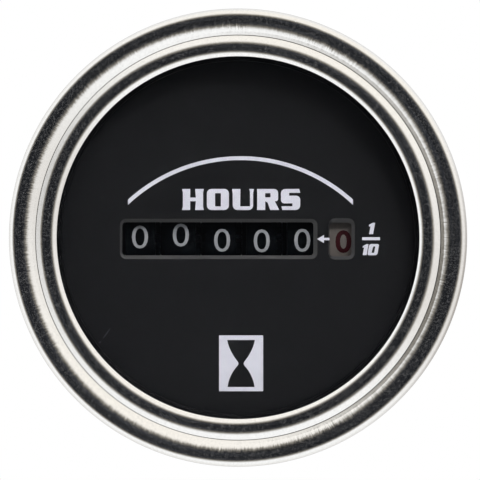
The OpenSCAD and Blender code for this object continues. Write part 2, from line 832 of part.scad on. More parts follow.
module timing_crystal() {
    color("silver") translate([-board_w / 5, board_y - can_r, board_h / 4])
        rotate([0, 90, 0]) cylinder(r = can_r, h = can_l, center = true, $fn = pin_fn);
}

module driver_chip() {
    color("#202124") translate([-board_w / 5 - chip_w / 2, board_y - chip_h, -chip_d / 2])
        cube([chip_w, chip_h, chip_d]);
}

module capacitor() {
    color("#27335c") translate([-board_w / 7, board_y - cap_r, -board_h / 3])
        rotate([0, 90, 0]) cylinder(r = cap_r, h = cap_l, center = true);
}

module board_resistors() {
    color("#34322e")
        for (k = [0 : 2])
            translate([board_w / 4 + k * 2 * res_w, board_y - res_h, res_top_z - res_l])
                cube([res_w, res_h, res_l]);
}

// Terminals

module terminal_places() {
    for (s = [-1, 1])
        backward(s * blade_spacing / 2, case_back_y, -blade_drop) children();
}

module blade_terminals() {
    foot = case_back_y - board_y - board_t;
    color("#c9a227") terminal_places() difference() {
        translate([-blade_w / 2, -blade_t / 2, -foot])
            cube([blade_w, blade_t, foot + case_wall + blade_l]);
        translate([0, blade_t, case_wall + blade_l - blade_w / 2]) rotate([90, 0, 0])
            cylinder(r = blade_hole_r, h = 2 * blade_t, $fn = pin_fn);
        for (s = [-1, 1])
            translate([s * blade_w / 2, 0, case_wall + blade_l]) rotate([90, 0, 0])
                cylinder(r = blade_notch, h = 2 * blade_t, center = true, $fn = 4);
    }
}

module terminal_insulators() {
    color("#26221c") terminal_places() difference() {
        union() {
            translate([-insulator_w / 2, -insulator_h / 2, case_wall])
                cube([insulator_w, insulator_h, insulator_t]);
            translate([press_gap - neck_w / 2, press_gap - neck_h / 2, -blade_inset])
                cube([neck_w - 2 * press_gap, neck_h - 2 * press_gap, case_wall + 2 * blade_inset]);
        }
        translate([-blade_w / 2 - press_gap, -blade_t / 2 - press_gap, -blade_inset - overrun])
            cube([blade_w + 2 * press_gap, blade_t + 2 * press_gap,
                case_wall + insulator_t + blade_inset + 2 * overrun]);
    }
}

// Rear hardware

module frame_screws() {
    color("silver") {
        post_places(case_depth) difference() {
            cylinder(r = screw_head_r, h = screw_head_h, $fn = pin_fn);
            translate([-screw_head_r, -screw_r / 4, screw_head_h / 2])
                cube([2 * screw_head_r, screw_r / 2, screw_head_h]);
        }
        post_places(case_back_y - screw_l + case_wall) cylinder(r = screw_r, h = screw_l, $fn = pin_fn);
    }
}

module stud_places(y) {
    for (s = [-1, 1])
        backward(s * stud_spacing / 2, y, 0) children();
}

module mounting_studs() {
    color("silver") stud_places(case_depth) {
        cylinder(r = stud_flange_r, h = stud_flange_t, $fn = pin_fn);
        cylinder(r = stud_r, h = stud_l, $fn = pin_fn);
    }
}

module clamp_bridge() {
    color("#9fa3a6") difference() {
        union() {
            translate([-leg_x - clamp_t, bridge_y, -clamp_w / 2])
                cube([2 * leg_x + 2 * clamp_t, clamp_t, clamp_w]);
            for (s = [0, 1])
                mirror([s, 0, 0])
                    translate([leg_x, clamp_gap, -clamp_w / 2])
                        cube([clamp_t, bridge_y - clamp_gap + clamp_t, clamp_w]);
        }
        stud_places(bridge_y - overrun)
            cylinder(r = stud_r + hole_gap, h = clamp_t + 2 * overrun, $fn = pin_fn);
    }
}

module clamp_washers() {
    color("silver") stud_places(bridge_y + clamp_t) difference() {
        cylinder(r = washer_r, h = washer_t);
        translate([0, 0, -overrun])
            cylinder(r = stud_r + thread_gap, h = washer_t + 2 * overrun, $fn = pin_fn);
    }
}

module clamp_nuts() {
    color("#b9a04a") stud_places(bridge_y + clamp_t + washer_t) difference() {
        cylinder(r = nut_r, h = nut_h);
        translate([0, 0, -overrun])
            cylinder(r = stud_r + thread_gap, h = nut_h + 2 * overrun, $fn = pin_fn);
    }
}

bezel();
glass();
glass_gasket();
spacer_ring();
dial();
case_cup();
movement_frame();
wheel_shaft();
pinion_shaft();
number_wheel_1();
number_wheel_2();
number_wheel_3();
number_wheel_4();
number_wheel_5();
tenths_wheel();
carry_pinion_1();
carry_pinion_2();
carry_pinion_3();
carry_pinion_4();
carry_pinion_5();
gear_pins();
slow_gear();
middle_gear();
rotor_pinion();
rotor_magnet();
stator();
coil_bobbin();
coil_winding();
circuit_board();
timing_crystal();
driver_chip();
capacitor();
board_resistors();
blade_terminals();
terminal_insulators();
frame_screws();
mounting_studs();
clamp_bridge();
clamp_washers();
clamp_nuts();
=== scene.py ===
"""Looks of a round panel hour meter: finishes, fine meshes, print, studio and camera.

Meshes are built in a face frame in millimetres (x right, y up, z toward the viewer) and are then
turned into the part's own frame, in which the face looks toward -Y.
"""

from __future__ import annotations

import logging
import math
from collections.abc import Iterable, Sequence
from dataclasses import dataclass
from enum import Enum
from typing import ClassVar

import bmesh
import bpy
from mathutils import Matrix, Vector


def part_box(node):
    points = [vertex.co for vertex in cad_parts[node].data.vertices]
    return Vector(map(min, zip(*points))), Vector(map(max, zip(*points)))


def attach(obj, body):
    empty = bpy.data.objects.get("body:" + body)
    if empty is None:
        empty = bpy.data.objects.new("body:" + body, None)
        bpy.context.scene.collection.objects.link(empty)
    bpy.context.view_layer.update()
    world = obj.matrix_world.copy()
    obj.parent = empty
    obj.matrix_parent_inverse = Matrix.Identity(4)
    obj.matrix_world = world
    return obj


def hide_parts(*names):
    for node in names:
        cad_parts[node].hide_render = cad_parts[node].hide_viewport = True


LOG = logging.getLogger("hour_meter")

MM = 0.001
FACE = Matrix.Scale(MM, 4) @ Matrix.Rotation(math.radians(90), 4, "X")
MERGE = 1e-4
MERGE_PRINT = 1e-5
FLAT_DEG = 1.0
Point = tuple[float, float]
Box = tuple[float, float, float, float]
Colour = tuple[float, float, float, float]
Shape = bmesh.types.BMesh
Socket = bpy.types.NodeSocket
Tree = bpy.types.NodeTree

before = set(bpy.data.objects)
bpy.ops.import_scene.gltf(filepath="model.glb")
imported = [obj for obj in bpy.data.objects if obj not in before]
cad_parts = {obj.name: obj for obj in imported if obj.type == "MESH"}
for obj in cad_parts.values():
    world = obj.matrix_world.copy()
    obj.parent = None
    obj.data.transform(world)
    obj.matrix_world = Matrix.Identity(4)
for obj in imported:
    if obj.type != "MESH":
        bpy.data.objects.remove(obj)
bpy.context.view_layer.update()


class Body(Enum):
    """The moving bodies of the gauge that new pieces ride on."""

    METER = "meter"
    CLAMP = "clamp"


class Kind(Enum):
    """The kinds of shader node that the finishes and the tent are made of."""

    BUMP = "ShaderNodeBump"
    CELLS = "ShaderNodeTexVoronoi"
    CLEAR = "ShaderNodeBsdfTransparent"
    COORDINATES = "ShaderNodeTexCoord"
    GEOMETRY = "ShaderNodeNewGeometry"
    JOIN = "ShaderNodeCombineXYZ"
    MAPPING = "ShaderNodeMapping"
    MATH = "ShaderNodeMath"
    MIX = "ShaderNodeMix"
    MIX_SHADER = "ShaderNodeMixShader"
    NOISE = "ShaderNodeTexNoise"
    RAMP = "ShaderNodeValToRGB"
    RANGE = "ShaderNodeMapRange"
    RAY = "ShaderNodeLightPath"
    SPLIT = "ShaderNodeSeparateXYZ"
    VECTOR = "ShaderNodeVectorMath"
    WAVE = "ShaderNodeTexWave"


# The Mix node's sockets for two colours and for their mixture.
COLOUR_A, COLOUR_B, COLOUR_OUT = 6, 7, 2


# Helpers for nodes and meshes


def linear(colour: str) -> Colour:
    """Turns an sRGB hex colour into a linear one.

    Args:
        colour: The colour as "#rrggbb".

    Returns:
        Linear red, green, blue and an alpha of one.
    """
    parts = [int(colour[i : i + 2], 16) / 255 for i in (1, 3, 5)]
    red, green, blue = (v / 12.92 if v <= 0.04045 else ((v + 0.055) / 1.055) ** 2.4 for v in parts)
    return red, green, blue, 1.0


def add_node(tree: Tree, kind: Kind, values: dict[int | str, object], out: int | str = 0) -> Socket:
    """Adds a node with its settings and links.

    Args:
        tree: The node tree.
        kind: The node's kind.
        values: Properties by attribute name, and inputs by name or number: a value is set, and
            an output socket is linked.
        out: Name or number of the output that is returned.

    Returns:
        The node's output socket.
    """
    node = tree.nodes.new(kind.value)
    for key, value in values.items():
        if isinstance(value, Socket):
            tree.links.new(value, node.inputs[key])
        elif isinstance(key, str) and hasattr(node, key):
            setattr(node, key, value)
        else:
            node.inputs[key].default_value = value
    return node.outputs[out]


def layered(tree: Tree, base: Socket | Colour, *layers: tuple[Socket, Socket | Colour]) -> Socket:
    """Lays colours over a first one.

    Args:
        tree: The node tree.
        base: The first colour.
        *layers: For each further colour, how much of it shows, and the colour.

    Returns:
        The colour that results.
    """
    for share, colour in layers:
        values = {"data_type": "RGBA", "Factor": share, COLOUR_A: base, COLOUR_B: colour}
        base = add_node(tree, Kind.MIX, values, COLOUR_OUT)
    return base


def arc(centre: Point, radius: float, start: float, end: float, steps: int) -> list[Point]:
    """Points of a circular arc.

    Args:
        centre: The arc's centre.
        radius: The arc's radius.
        start: Angle of the first point in degrees.
        end: Angle of the last point in degrees.
        steps: Number of stretches between the points.

    Returns:
        The arc's points, both ends included.
    """
    angles = [math.radians(start + (end - start) * i / steps) for i in range(steps + 1)]
    return [(centre[0] + radius * math.cos(a), centre[1] + radius * math.sin(a)) for a in angles]


def flank_end(point: Point, radius: float, slope_deg: float) -> Point:
    """Follows a straight flank down from a point to a radius."""
    return radius, point[1] - abs(point[0] - radius) * math.tan(math.radians(slope_deg))


def join_section(*parts: Sequence[Point]) -> list[Point]:
    """Joins stretches of a section into one list of corners, and leaves out points that repeat.

    Args:
        *parts: The stretches in order.

    Returns:
        The section's corners.
    """
    found: list[Point] = []
    for point in (p for part in parts for p in part):
        if not found or math.dist(found[-1], point) > MERGE:
            found.append(point)
    return found


def spun(section: Sequence[Point], steps: int) -> Shape:
    """Spins a closed section round the gauge's axis.

    Args:
        section: Radius and height of the section's corners in order.
        steps: Number of steps in the full turn.

    Returns:
        A closed mesh in the face frame.
    """
    bm = bmesh.new()
    verts = [bm.verts.new((r, 0, h)) for r, h in section]
    edges = [bm.edges.new((verts[i - 1], verts[i])) for i in range(len(verts))]
    bmesh.ops.spin(
        bm, geom=verts + edges, cent=(0, 0, 0), axis=(0, 0, 1), angle=math.tau, steps=steps, use_merge=True
    )
    bmesh.ops.remove_doubles(bm, verts=bm.verts, dist=MERGE)
    bmesh.ops.recalc_face_normals(bm, faces=bm.faces)
    return bm


def everything(bm: Shape) -> list[bmesh.types.BMVert | bmesh.types.BMEdge | bmesh.types.BMFace]:
    """All vertices, edges and faces of a mesh."""
    return [*bm.verts, *bm.edges, *bm.faces]


def absorb(whole: Shape, part: Shape) -> None:
    """Adds a mesh to another one.

    Args:
        whole: The mesh that grows.
        part: The mesh that is added and freed.
    """
    mesh = bpy.data.meshes.new("part")
    part.to_mesh(mesh)
    part.free()
    whole.from_mesh(mesh)
    bpy.data.meshes.remove(mesh)


def outline_face(bm: Shape, corners: Sequence[Point]) -> bmesh.types.BMFace:
    """Makes one flat face from a few corners, counter-clockwise in the face plane."""
    return bm.faces.new([bm.verts.new((x, y, 0)) for x, y in corners])


def round_corners(bm: Shape, verts: Iterable[bmesh.types.BMVert], radius: float, steps: int = 5) -> None:
    """Rounds corners of a flat face.

    Args:
        bm: The mesh.
        verts: The corners to round.
        radius: Length that the rounding takes from each side.
        steps: Number of stretches in each rounding.
    """
    bmesh.ops.bevel(
        bm, geom=list(verts), offset=radius, offset_type="OFFSET", segments=steps, profile=0.5,
        affect="VERTICES", clamp_overlap=True, material=-1,
    )


def rounded_rectangle(
    bm: Shape, low: Point, high: Point, radius: float, height: float, steps: int = 6
) -> list[bmesh.types.BMEdge]:
    """Draws a rounded rectangle as edges.

    Args:
        bm: The mesh that gets it.
        low: Lower left corner.
        high: Upper right corner.
        radius: Corner radius.
        height: Height of the outline.
        steps: Number of stretches in each corner.

    Returns:
        The outline's edges.
    """
    face = outline_face(bm, [low, (high[0], low[1]), high, (low[0], high[1])])
    before = set(bm.edges) - set(face.edges)
    round_corners(bm, face.verts, radius, steps)
    made = [e for e in bm.edges if e not in before]
    faces = {f for e in made for f in e.link_faces}
    bmesh.ops.translate(bm, verts=list({v for e in made for v in e.verts}), vec=(0, 0, height))
    bmesh.ops.delete(bm, geom=list(faces), context="FACES_ONLY")
    return made


def thicken(bm: Shape, height: float) -> None:
    """Gives flat faces a thickness toward the viewer.

    Args:
        bm: The mesh, whose faces all lie flat.
        height: The thickness.
    """
    made = bmesh.ops.extrude_face_region(bm, geom=list(bm.faces), use_keep_orig=True)
    top = [v for v in made["geom"] if isinstance(v, bmesh.types.BMVert)]
    bmesh.ops.translate(bm, verts=top, vec=(0, 0, height))
    bmesh.ops.remove_doubles(bm, verts=bm.verts, dist=MERGE_PRINT)
    bmesh.ops.recalc_face_normals(bm, faces=bm.faces)


def fill_between(bm: Shape) -> None:
    """Replaces the faces of outlines by one flat fill that leaves the inner outlines open."""
    bmesh.ops.delete(bm, geom=list(bm.faces), context="FACES_ONLY")
    bmesh.ops.triangle_fill(bm, use_beauty=True, use_dissolve=False, edges=list(bm.edges), normal=(0, 0, 1))


def reach_of(node: str) -> tuple[float, float, float]:
    """A node's reach to the right, its back and its front in the face frame."""
    low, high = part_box(node)
    return high.x / MM, -high.y / MM, -low.y / MM


# Finishes


@dataclass(frozen=True)
class Surface:
    """A material in the making: its node tree, its shader and the object's own coordinates."""

    tree: Tree
    shader: bpy.types.Node
    place: Socket

    def link(self, value: Socket, name: str) -> None:
        """Links a value to an input of the shader."""
        self.tree.links.new(value, self.shader.inputs[name])


@dataclass(frozen=True)
class Finish:
    """A finish with grain: two close colours, a spread of roughness and a fine relief.

    The grain is a noise whose cells measure grain_mm, and the colours lie in clouds some cells
    wide. stretch divides the cells' size along each axis, so a drawn surface has long marks.
    """

    name: str
    colour: str
    tint: str
    roughness: Point = (0.4, 0.5)
    metallic: float = 0.0
    grain_mm: float = 0.4
    relief_mm: float = 0.004
    stretch: tuple[float, float, float] = (1.0, 1.0, 1.0)
    specular: float = 0.5
    coat: float = 0.0
    coat_roughness: ClassVar[float] = 0.15
    cloud_cells: ClassVar[float] = 9.0
    colour_span: ClassVar[Point] = (0.35, 0.65)
    rough_span: ClassVar[Point] = (0.3, 0.7)

    def build(self) -> bpy.types.Material:
        """Makes the material, or returns the one that is already made."""
        if self.name in bpy.data.materials:
            return bpy.data.materials[self.name]
        material = bpy.data.materials.new(self.name)
        material.use_nodes = True
        tree = material.node_tree
        shader = tree.nodes["Principled BSDF"]
        shader.inputs["Metallic"].default_value = self.metallic
        shader.inputs["Specular IOR Level"].default_value = self.specular
        shader.inputs["Coat Weight"].default_value = self.coat
        shader.inputs["Coat Roughness"].default_value = self.coat_roughness
        self.dress(Surface(tree, shader, add_node(tree, Kind.COORDINATES, {}, "Object")))
        return material

    def grain(self, on: Surface, size_mm: float) -> Socket:
        """Adds a noise with the finish's stretch.

        Args:
            on: The material in the making.
            size_mm: Size of the noise's cells.

        Returns:
            The noise's value.
        """
        mapped = add_node(on.tree, Kind.MAPPING, {"Vector": on.place, "Scale": self.stretch})
        return add_node(
            on.tree, Kind.NOISE,
            {"Vector": mapped, "Scale": 1 / (size_mm * MM), "Detail": 3.0, "Roughness": 0.6}, "Fac",
        )

    def dress(self, on: Surface) -> None:
        """Adds colour, roughness and relief.

        Args:
            on: The material in the making.
        """
        fine = self.grain(on, self.grain_mm)
        self.colour_by(on, self.grain(on, self.grain_mm * self.cloud_cells))
        (low, high), (smooth, rough) = self.rough_span, self.roughness
        spread = add_node(
            on.tree, Kind.RANGE,
            {"Value": fine, "From Min": low, "From Max": high, "To Min": smooth, "To Max": rough},
        )
        on.link(spread, "Roughness")
        self.relief(on, fine, self.relief_mm)

    def colour_by(self, on: Surface, value: Socket) -> None:
        """Goes from the colour to the tint by a value.

        Args:
            on: The material in the making.
            value: Low for the colour and high for the tint.
        """
        ramp = add_node(on.tree, Kind.RAMP, {"Fac": value}, "Color")
        low, high = ramp.node.color_ramp.elements
        low.position, low.color = self.colour_span[0], linear(self.colour)
        high.position, high.color = self.colour_span[1], linear(self.tint)
        on.link(ramp, "Base Color")

    def overlay(self, on: Surface, share: Socket, colour: str) -> None:
        """Lays a further colour over the base colour.

        Args:
            on: The material in the making.
            share: How much of the further colour shows.
            colour: The further colour as "#rrggbb".
        """
        base = on.shader.inputs["Base Color"].links[0].from_socket
        on.link(layered(on.tree, base, (share, linear(colour))), "Base Color")

    def relief(self, on: Surface, height: Socket, depth_mm: float) -> None:
        """Adds a fine relief.

        Args:
            on: The material in the making.
            height: The relief's height from zero to one.
            depth_mm: The relief's depth.
        """
        on.link(add_node(on.tree, Kind.BUMP, {"Height": height, "Distance": depth_mm * MM}), "Normal")


@dataclass(frozen=True)
class ChromedSheet(Finish):
    """Chromed pressed steel: mirror bright, with fine marks of the press across the beads.

    Each mark tips the surface a little inward or outward, so the edges of the dark reflections look
    frayed, more so in some stretches of the ring. A thin film of dust and haze shows in the dark parts.
    """

    mark_mm: float = 0.14
    mark_run_mm: float = 1.1
    mark_tip: float = 0.2
    mark_band_mm: Point = (27.0, 28.3)
    mark_outside: float = 0.08
    mark_fade: float = 1.3
    stretch_turns: float = 1.6
    stretch_span: Point = (0.35, 0.65)
    stretch_low: float = 0.45
    mottle_mm: float = 0.5
    mottle_depth_mm: float = 0.006
    haze_mm: float = 0.2
    haze: float = 0.1
    haze_span: Point = (0.47, 0.75)
    haze_mottle: float = 0.3

    def dress(self, on: Surface) -> None:
        """Adds press marks, mottling and a film of dust.

        Args:
            on: The material in the making.
        """
        tree = on.tree
        flat = add_node(tree, Kind.MAPPING, {"Vector": on.place, "Scale": (1, 0, 1)})
        radius = add_node(tree, Kind.VECTOR, {"operation": "LENGTH", 0: flat}, "Value")
        unit = add_node(tree, Kind.VECTOR, {"operation": "NORMALIZE", 0: flat})
        marks = self.round_noise(tree, unit, radius, Bezel.reach_mm / self.mark_mm, self.mark_run_mm)
        tip = self.tip(tree, unit, radius, marks)
        lean = add_node(tree, Kind.VECTOR, {"operation": "SCALE", 0: unit, "Scale": tip})
        normal = add_node(tree, Kind.GEOMETRY, {}, "Normal")
        tipped = add_node(tree, Kind.VECTOR, {"operation": "ADD", 0: normal, 1: lean})
        tipped = add_node(tree, Kind.VECTOR, {"operation": "NORMALIZE", 0: tipped})
        fine = self.grain(on, self.grain_mm)
        mottle = self.grain(on, self.mottle_mm)
        uneven = add_node(tree, Kind.MATH, {"operation": "SUBTRACT", 0: mottle, 1: 0.5})
        dust = add_node(
            tree, Kind.MATH,
            {"operation": "MULTIPLY_ADD", 0: uneven, 1: self.haze_mottle, 2: self.grain(on, self.haze_mm)},
        )
        low, high = self.haze_span
        film = add_node(
            tree, Kind.RANGE,
            {"Value": dust, "From Min": low, "From Max": high, "To Min": self.metallic,
             "To Max": self.metallic - self.haze},
        )
        on.link(film, "Metallic")
        self.colour_by(on, fine)
        low, high = self.roughness
        rough = add_node(tree, Kind.MATH, {"operation": "MULTIPLY_ADD", 0: marks, 1: high - low, 2: low})
        on.link(rough, "Roughness")
        broad = add_node(
            tree, Kind.BUMP, {"Height": mottle, "Distance": self.mottle_depth_mm * MM, "Normal": tipped}
        )
        small = add_node(tree, Kind.BUMP, {"Height": fine, "Distance": self.relief_mm * MM, "Normal": broad})
        on.link(small, "Normal")

    def tip(self, tree: Tree, unit: Socket, radius: Socket, marks: Socket) -> Socket:
        """Works out how far each mark tips the surface outward.

        Args:
            tree: The material's node tree.
            unit: Direction from the axis.
            radius: Distance from the axis.
            marks: The marks' noise.

        Returns:
            The tip as a share of the normal's length.
        """
        stretch = self.round_noise(tree, unit, radius, self.stretch_turns, Bezel.reach_mm)
        low, high = self.stretch_span
        where = add_node(
            tree, Kind.RANGE,
            {"Value": stretch, "From Min": low, "From Max": high, "To Min": self.stretch_low, "To Max": 1.0},
        )
        inner, outer = self.mark_band_mm
        middle, half = (inner + outer) / 2 * MM, (outer - inner) / 2 * MM
        off = add_node(tree, Kind.MATH, {"operation": "SUBTRACT", 0: radius, 1: middle})
        off = add_node(tree, Kind.MATH, {"operation": "ABSOLUTE", 0: off})
        inside = add_node(
            tree, Kind.RANGE,
            {"Value": off, "From Min": half, "From Max": self.mark_fade * half, "To Min": 1.0,
             "To Max": self.mark_outside},
        )
        tip = add_node(tree, Kind.MATH, {"operation": "SUBTRACT", 0: marks, 1: 0.5})
        for share in (2 * self.mark_tip, where, inside):
            tip = add_node(tree, Kind.MATH, {"operation": "MULTIPLY", 0: tip, 1: share})
        return tip

    def round_noise(self, tree: Tree, unit: Socket, radius: Socket, turns: float, run_mm: float) -> Socket:
        """Adds a noise that runs round the ring without a seam.

        Args:
            tree: The material's node tree.
            unit: Direction from the axis.
            radius: Distance from the axis.
            turns: Number of cells in one radian round the ring.
            run_mm: Length of a cell from the middle outward.

        Returns:
            The noise's value.
        """
        turned = add_node(tree, Kind.VECTOR, {"operation": "SCALE", 0: unit, "Scale": turns})
        run = add_node(tree, Kind.MATH, {"operation": "MULTIPLY", 0: radius, 1: 1 / (run_mm * MM)})
        outward = add_node(tree, Kind.JOIN, {"Y": run})
        spot = add_node(tree, Kind.VECTOR, {"operation": "ADD", 0: turned, 1: outward})
        return add_node(
            tree, Kind.NOISE, {"Vector": spot, "Scale": 1.0, "Detail": 2.0, "Roughness": 0.6}, "Fac"
        )


@dataclass(frozen=True)
class DialPaint(Finish):
    """Satin black dial paint, with a paler colour painted on the windows' leaning bevelled rims as a painted
    sheen, where they catch the light.

    Two fine scratches lie at the lower left, as in the photograph.
    """

    # Painted sheen: a paler colour for the windows' leaning rims, standing for the light they catch.
    edge: str = "#3a3a3b"
    edge_lean: float = 0.08
    bare: str = "#4d4b57"
    scratch_w_mm: float = 0.2
    scratch_core: float = 0.3
    scratches_mm: tuple[tuple[Point, Point], ...] = (
        ((-17.82, -13.3), (-16.87, -11.98)), ((-18.33, -13.86), (-18.13, -13.76)),
    )

    def dress(self, on: Surface) -> None:
        """Adds the painted sheen on the leaning rims, and the scratches.

        Args:
            on: The material in the making.
        """
        super().dress(on)
        tree = on.tree
        # Painted sheen: faces that lean part way, the windows' bevelled rims, get the paler colour by their
        # lean.
        normal = add_node(tree, Kind.GEOMETRY, {}, "Normal")
        facing = add_node(tree, Kind.SPLIT, {"Vector": normal}, "Y")
        facing = add_node(tree, Kind.MATH, {"operation": "ABSOLUTE", 0: facing})
        leaning = add_node(tree, Kind.MATH, {"operation": "LESS_THAN", 0: facing, 1: 1 - self.edge_lean})
        outer = add_node(tree, Kind.MATH, {"operation": "GREATER_THAN", 0: facing, 1: self.edge_lean})
        rim_sheen_share = add_node(tree, Kind.MATH, {"operation": "MULTIPLY", 0: leaning, 1: outer})
        self.overlay(on, rim_sheen_share, self.edge)
        for start, end in self.scratches_mm:
            self.overlay(on, self.scratch(on, start, end), self.bare)

    def scratch(self, on: Surface, start: Point, end: Point) -> Socket:
        """Adds a fine scratch that fades toward its sides and ends.

        Args:
            on: The material in the making.
            start: One end, to the right and up in millimetres.
            end: The other end.

        Returns:
            How much of the scratch shows.
        """
        middle = [(a + b) / 2 * MM for a, b in zip(start, end)]
        turn = math.atan2(end[1] - start[1], end[0] - start[0])
        half_w = self.scratch_w_mm / 2
        half = math.dist(start, end) / 2 + half_w
        own = add_node(
            on.tree, Kind.MAPPING,
            {"Vector": on.place, "vector_type": "TEXTURE", "Location": (middle[0], 0, middle[1]),
             "Rotation": (0, -turn, 0), "Scale": (half * MM, 1, half_w * MM)},
        )
        own = add_node(on.tree, Kind.VECTOR, {"operation": "ABSOLUTE", 0: own})
        sides = add_node(on.tree, Kind.SPLIT, {"Vector": own}).node.outputs
        reach = add_node(on.tree, Kind.MATH, {"operation": "MAXIMUM", 0: sides["X"], 1: sides["Z"]})
        return add_node(
            on.tree, Kind.RANGE,
            {"Value": reach, "From Min": self.scratch_core, "From Max": 1.0, "To Min": 1.0, "To Max": 0.0},
        )


@dataclass(frozen=True)
class ClearGlass(Finish):
    """Flat float glass: clear, and seen through without a shadow of its own."""

    ior: ClassVar[float] = 1.5

    def dress(self, on: Surface) -> None:
        """Makes the shader clear, and lets light straight through.

        Args:
            on: The material in the making.
        """
        on.shader.inputs["Base Color"].default_value = linear(self.colour)
        on.shader.inputs["Roughness"].default_value = self.roughness[0]
        on.shader.inputs["Transmission Weight"].default_value = 1.0
        on.shader.inputs["IOR"].default_value = self.ior
        self.relief(on, self.grain(on, self.grain_mm), self.relief_mm)
        shadow = add_node(on.tree, Kind.RAY, {}, "Is Shadow Ray")
        clear = add_node(on.tree, Kind.CLEAR, {})
        mixed = add_node(on.tree, Kind.MIX_SHADER, {0: shadow, 1: on.shader.outputs[0], 2: clear})
        on.tree.links.new(mixed, on.tree.nodes["Material Output"].inputs["Surface"])


@dataclass(frozen=True)
class WoundWire(Finish):
    """Enamelled copper wire: glossy reddish turns that lie side by side round the coil."""

    wire_mm: float = 0.16
    band_m: ClassVar[float] = math.pi / 10

    def dress(self, on: Surface) -> None:
        """Adds the turns of wire, by bands that are band_m wide at a scale of one.

        Args:
            on: The material in the making.
        """
        super().dress(on)
        turns = add_node(
            on.tree, Kind.WAVE,
            {"Vector": on.place, "wave_type": "BANDS", "bands_direction": "Z",
             "Scale": self.band_m / (self.wire_mm * MM), "Distortion": 0.3, "Detail": 1.0}, "Fac",
        )
        self.relief(on, turns, self.wire_mm / 2)


@dataclass(frozen=True)
class MaskedBoard(Finish):
    """Green solder mask over copper: paler where a track runs beneath."""

    track_mm: float = 1.9
    track_from: float = 0.42
    track_rise_mm: float = 0.03

    def dress(self, on: Surface) -> None:
        """Adds tracks under the mask.

        Args:
            on: The material in the making.
        """
        super().dress(on)
        cells = add_node(
            on.tree, Kind.CELLS,
            {"Vector": on.place, "distance": "CHEBYCHEV", "feature": "F1",
             "Scale": 1 / (self.track_mm * MM), "Randomness": 0.7}, "Distance",
        )
        tracks = add_node(on.tree, Kind.MATH, {"operation": "GREATER_THAN", 0: cells, 1: self.track_from})
        self.colour_by(on, tracks)
        self.relief(on, tracks, self.track_rise_mm)


@dataclass(frozen=True)
class StripedSleeve(Finish):
    """Shrink sleeve on a capacitor: glossy blue with one pale stripe along it."""

    stripe: str = "#c9ccd6"
    stripe_low_mm: float = 0.0
    stripe_high_mm: float = 0.0

    def dress(self, on: Surface) -> None:
        """Adds the stripe between two heights.

        Args:
            on: The material in the making.
        """
        super().dress(on)
        tree = on.tree
        height = add_node(tree, Kind.SPLIT, {"Vector": on.place}, "Z")
        low, high = self.stripe_low_mm * MM, self.stripe_high_mm * MM
        above = add_node(tree, Kind.MATH, {"operation": "GREATER_THAN", 0: height, 1: low})
        below = add_node(tree, Kind.MATH, {"operation": "LESS_THAN", 0: height, 1: high})
        both = add_node(tree, Kind.MATH, {"operation": "MULTIPLY", 0: above, 1: below})
        self.overlay(on, both, self.stripe)


# Chromed steel reflects nearly white and slightly cool, as in the photograph.
CHROME = ChromedSheet(
    "chromed_sheet", "#f6f6f5", "#fcfcfb", (0.1, 0.17), metallic=1.0, grain_mm=0.35, relief_mm=0.0012
)
# Float glass is flat and colourless, so only its gloss at a slant shows.
GLASS = ClearGlass("clear_float_glass", "#ffffff", "#ffffff", (0.0, 0.0), grain_mm=9.0, relief_mm=0.0006)
# Black satin paint on the dial looks dark grey in the light, with a fine tooth.
DIAL_PAINT = DialPaint(
    "satin_black_dial_paint", "#0a0b0e", "#0e0f12", (0.33, 0.38), grain_mm=0.3, relief_mm=0.0003, specular=0.4
)
# Screen print lies as a thin matt film, a little cool in its white.
WHITE_INK = Finish("white_screen_print", "#d6d6e1", "#dbdbe5", (0.5, 0.62), grain_mm=0.12, relief_mm=0.004)
# The digits' white print is painted grey: painted shade for the dim window deep behind the glass.
DIGIT_INK_PAINTED_SHADE = Finish(
    "white_digit_print_painted_shade", "#909296", "#9b9da1", (0.5, 0.62), grain_mm=0.1, relief_mm=0.004,
    specular=0.2,
)
# Stamped dark red print, dull, and painted darker still as painted shade for the dim window.
RED_INK = Finish(
    "dark_red_digit_print", "#2d050b", "#37080f", (0.5, 0.6), grain_mm=0.1, relief_mm=0.004, specular=0.15
)
# Moulded rubber is dull and nearly black.
RUBBER = Finish("black_rubber", "#101011", "#161617", (0.7, 0.85), grain_mm=0.25, relief_mm=0.01)
# A matt black moulding keeps glare from the edge of the dial.
SPACER_BLACK = Finish(
    "matt_black_spacer", "#060608", "#0a0a0c", (0.55, 0.7), grain_mm=0.2, relief_mm=0.004, specular=0.15
)
# Stove enamel on the drawn steel cup: dark grey satin with a slight orange peel.
CASE_ENAMEL = Finish(
    "dark_stove_enamel", "#2b2c2f", "#303134", (0.32, 0.42), grain_mm=0.55, relief_mm=0.012, coat=0.25
)
# Moulded ABS has a soft sheen and the fine texture of its mould.
FRAME_PLASTIC = Finish("black_moulded_abs", "#1c1d1f", "#222325", (0.45, 0.6), grain_mm=0.3, relief_mm=0.006)
# The number wheels are moulded black acetal, a little shiny, with faint marks round the rim; their black is
# painted darker still as painted shade for the dim window.
WHEEL_BLACK = Finish(
    "black_moulded_acetal", "#010203", "#04070a", (0.3, 0.42), grain_mm=0.35, relief_mm=0.002,
    stretch=(4, 1, 1), specular=0.06,
)
WHEEL_LIGHT = Finish(
    "warm_grey_moulded_acetal", "#5d5854", "#67615d", (0.4, 0.52), grain_mm=0.35, relief_mm=0.002,
    stretch=(4, 1, 1), specular=0.3,
)
# Natural acetal is off-white and looks waxy.
ACETAL = Finish("natural_acetal", "#e2dfd5", "#ebe8e0", (0.3, 0.42), grain_mm=0.5, relief_mm=0.004)
# Ground rod has fine rings round it, which break up its bright shine.
GROUND_STEEL = Finish(
    "ground_steel", "#b9bbbe", "#c6c8cb", (0.2, 0.32), metallic=1.0, grain_mm=0.25, relief_mm=0.002,
    stretch=(12, 1, 1),
)
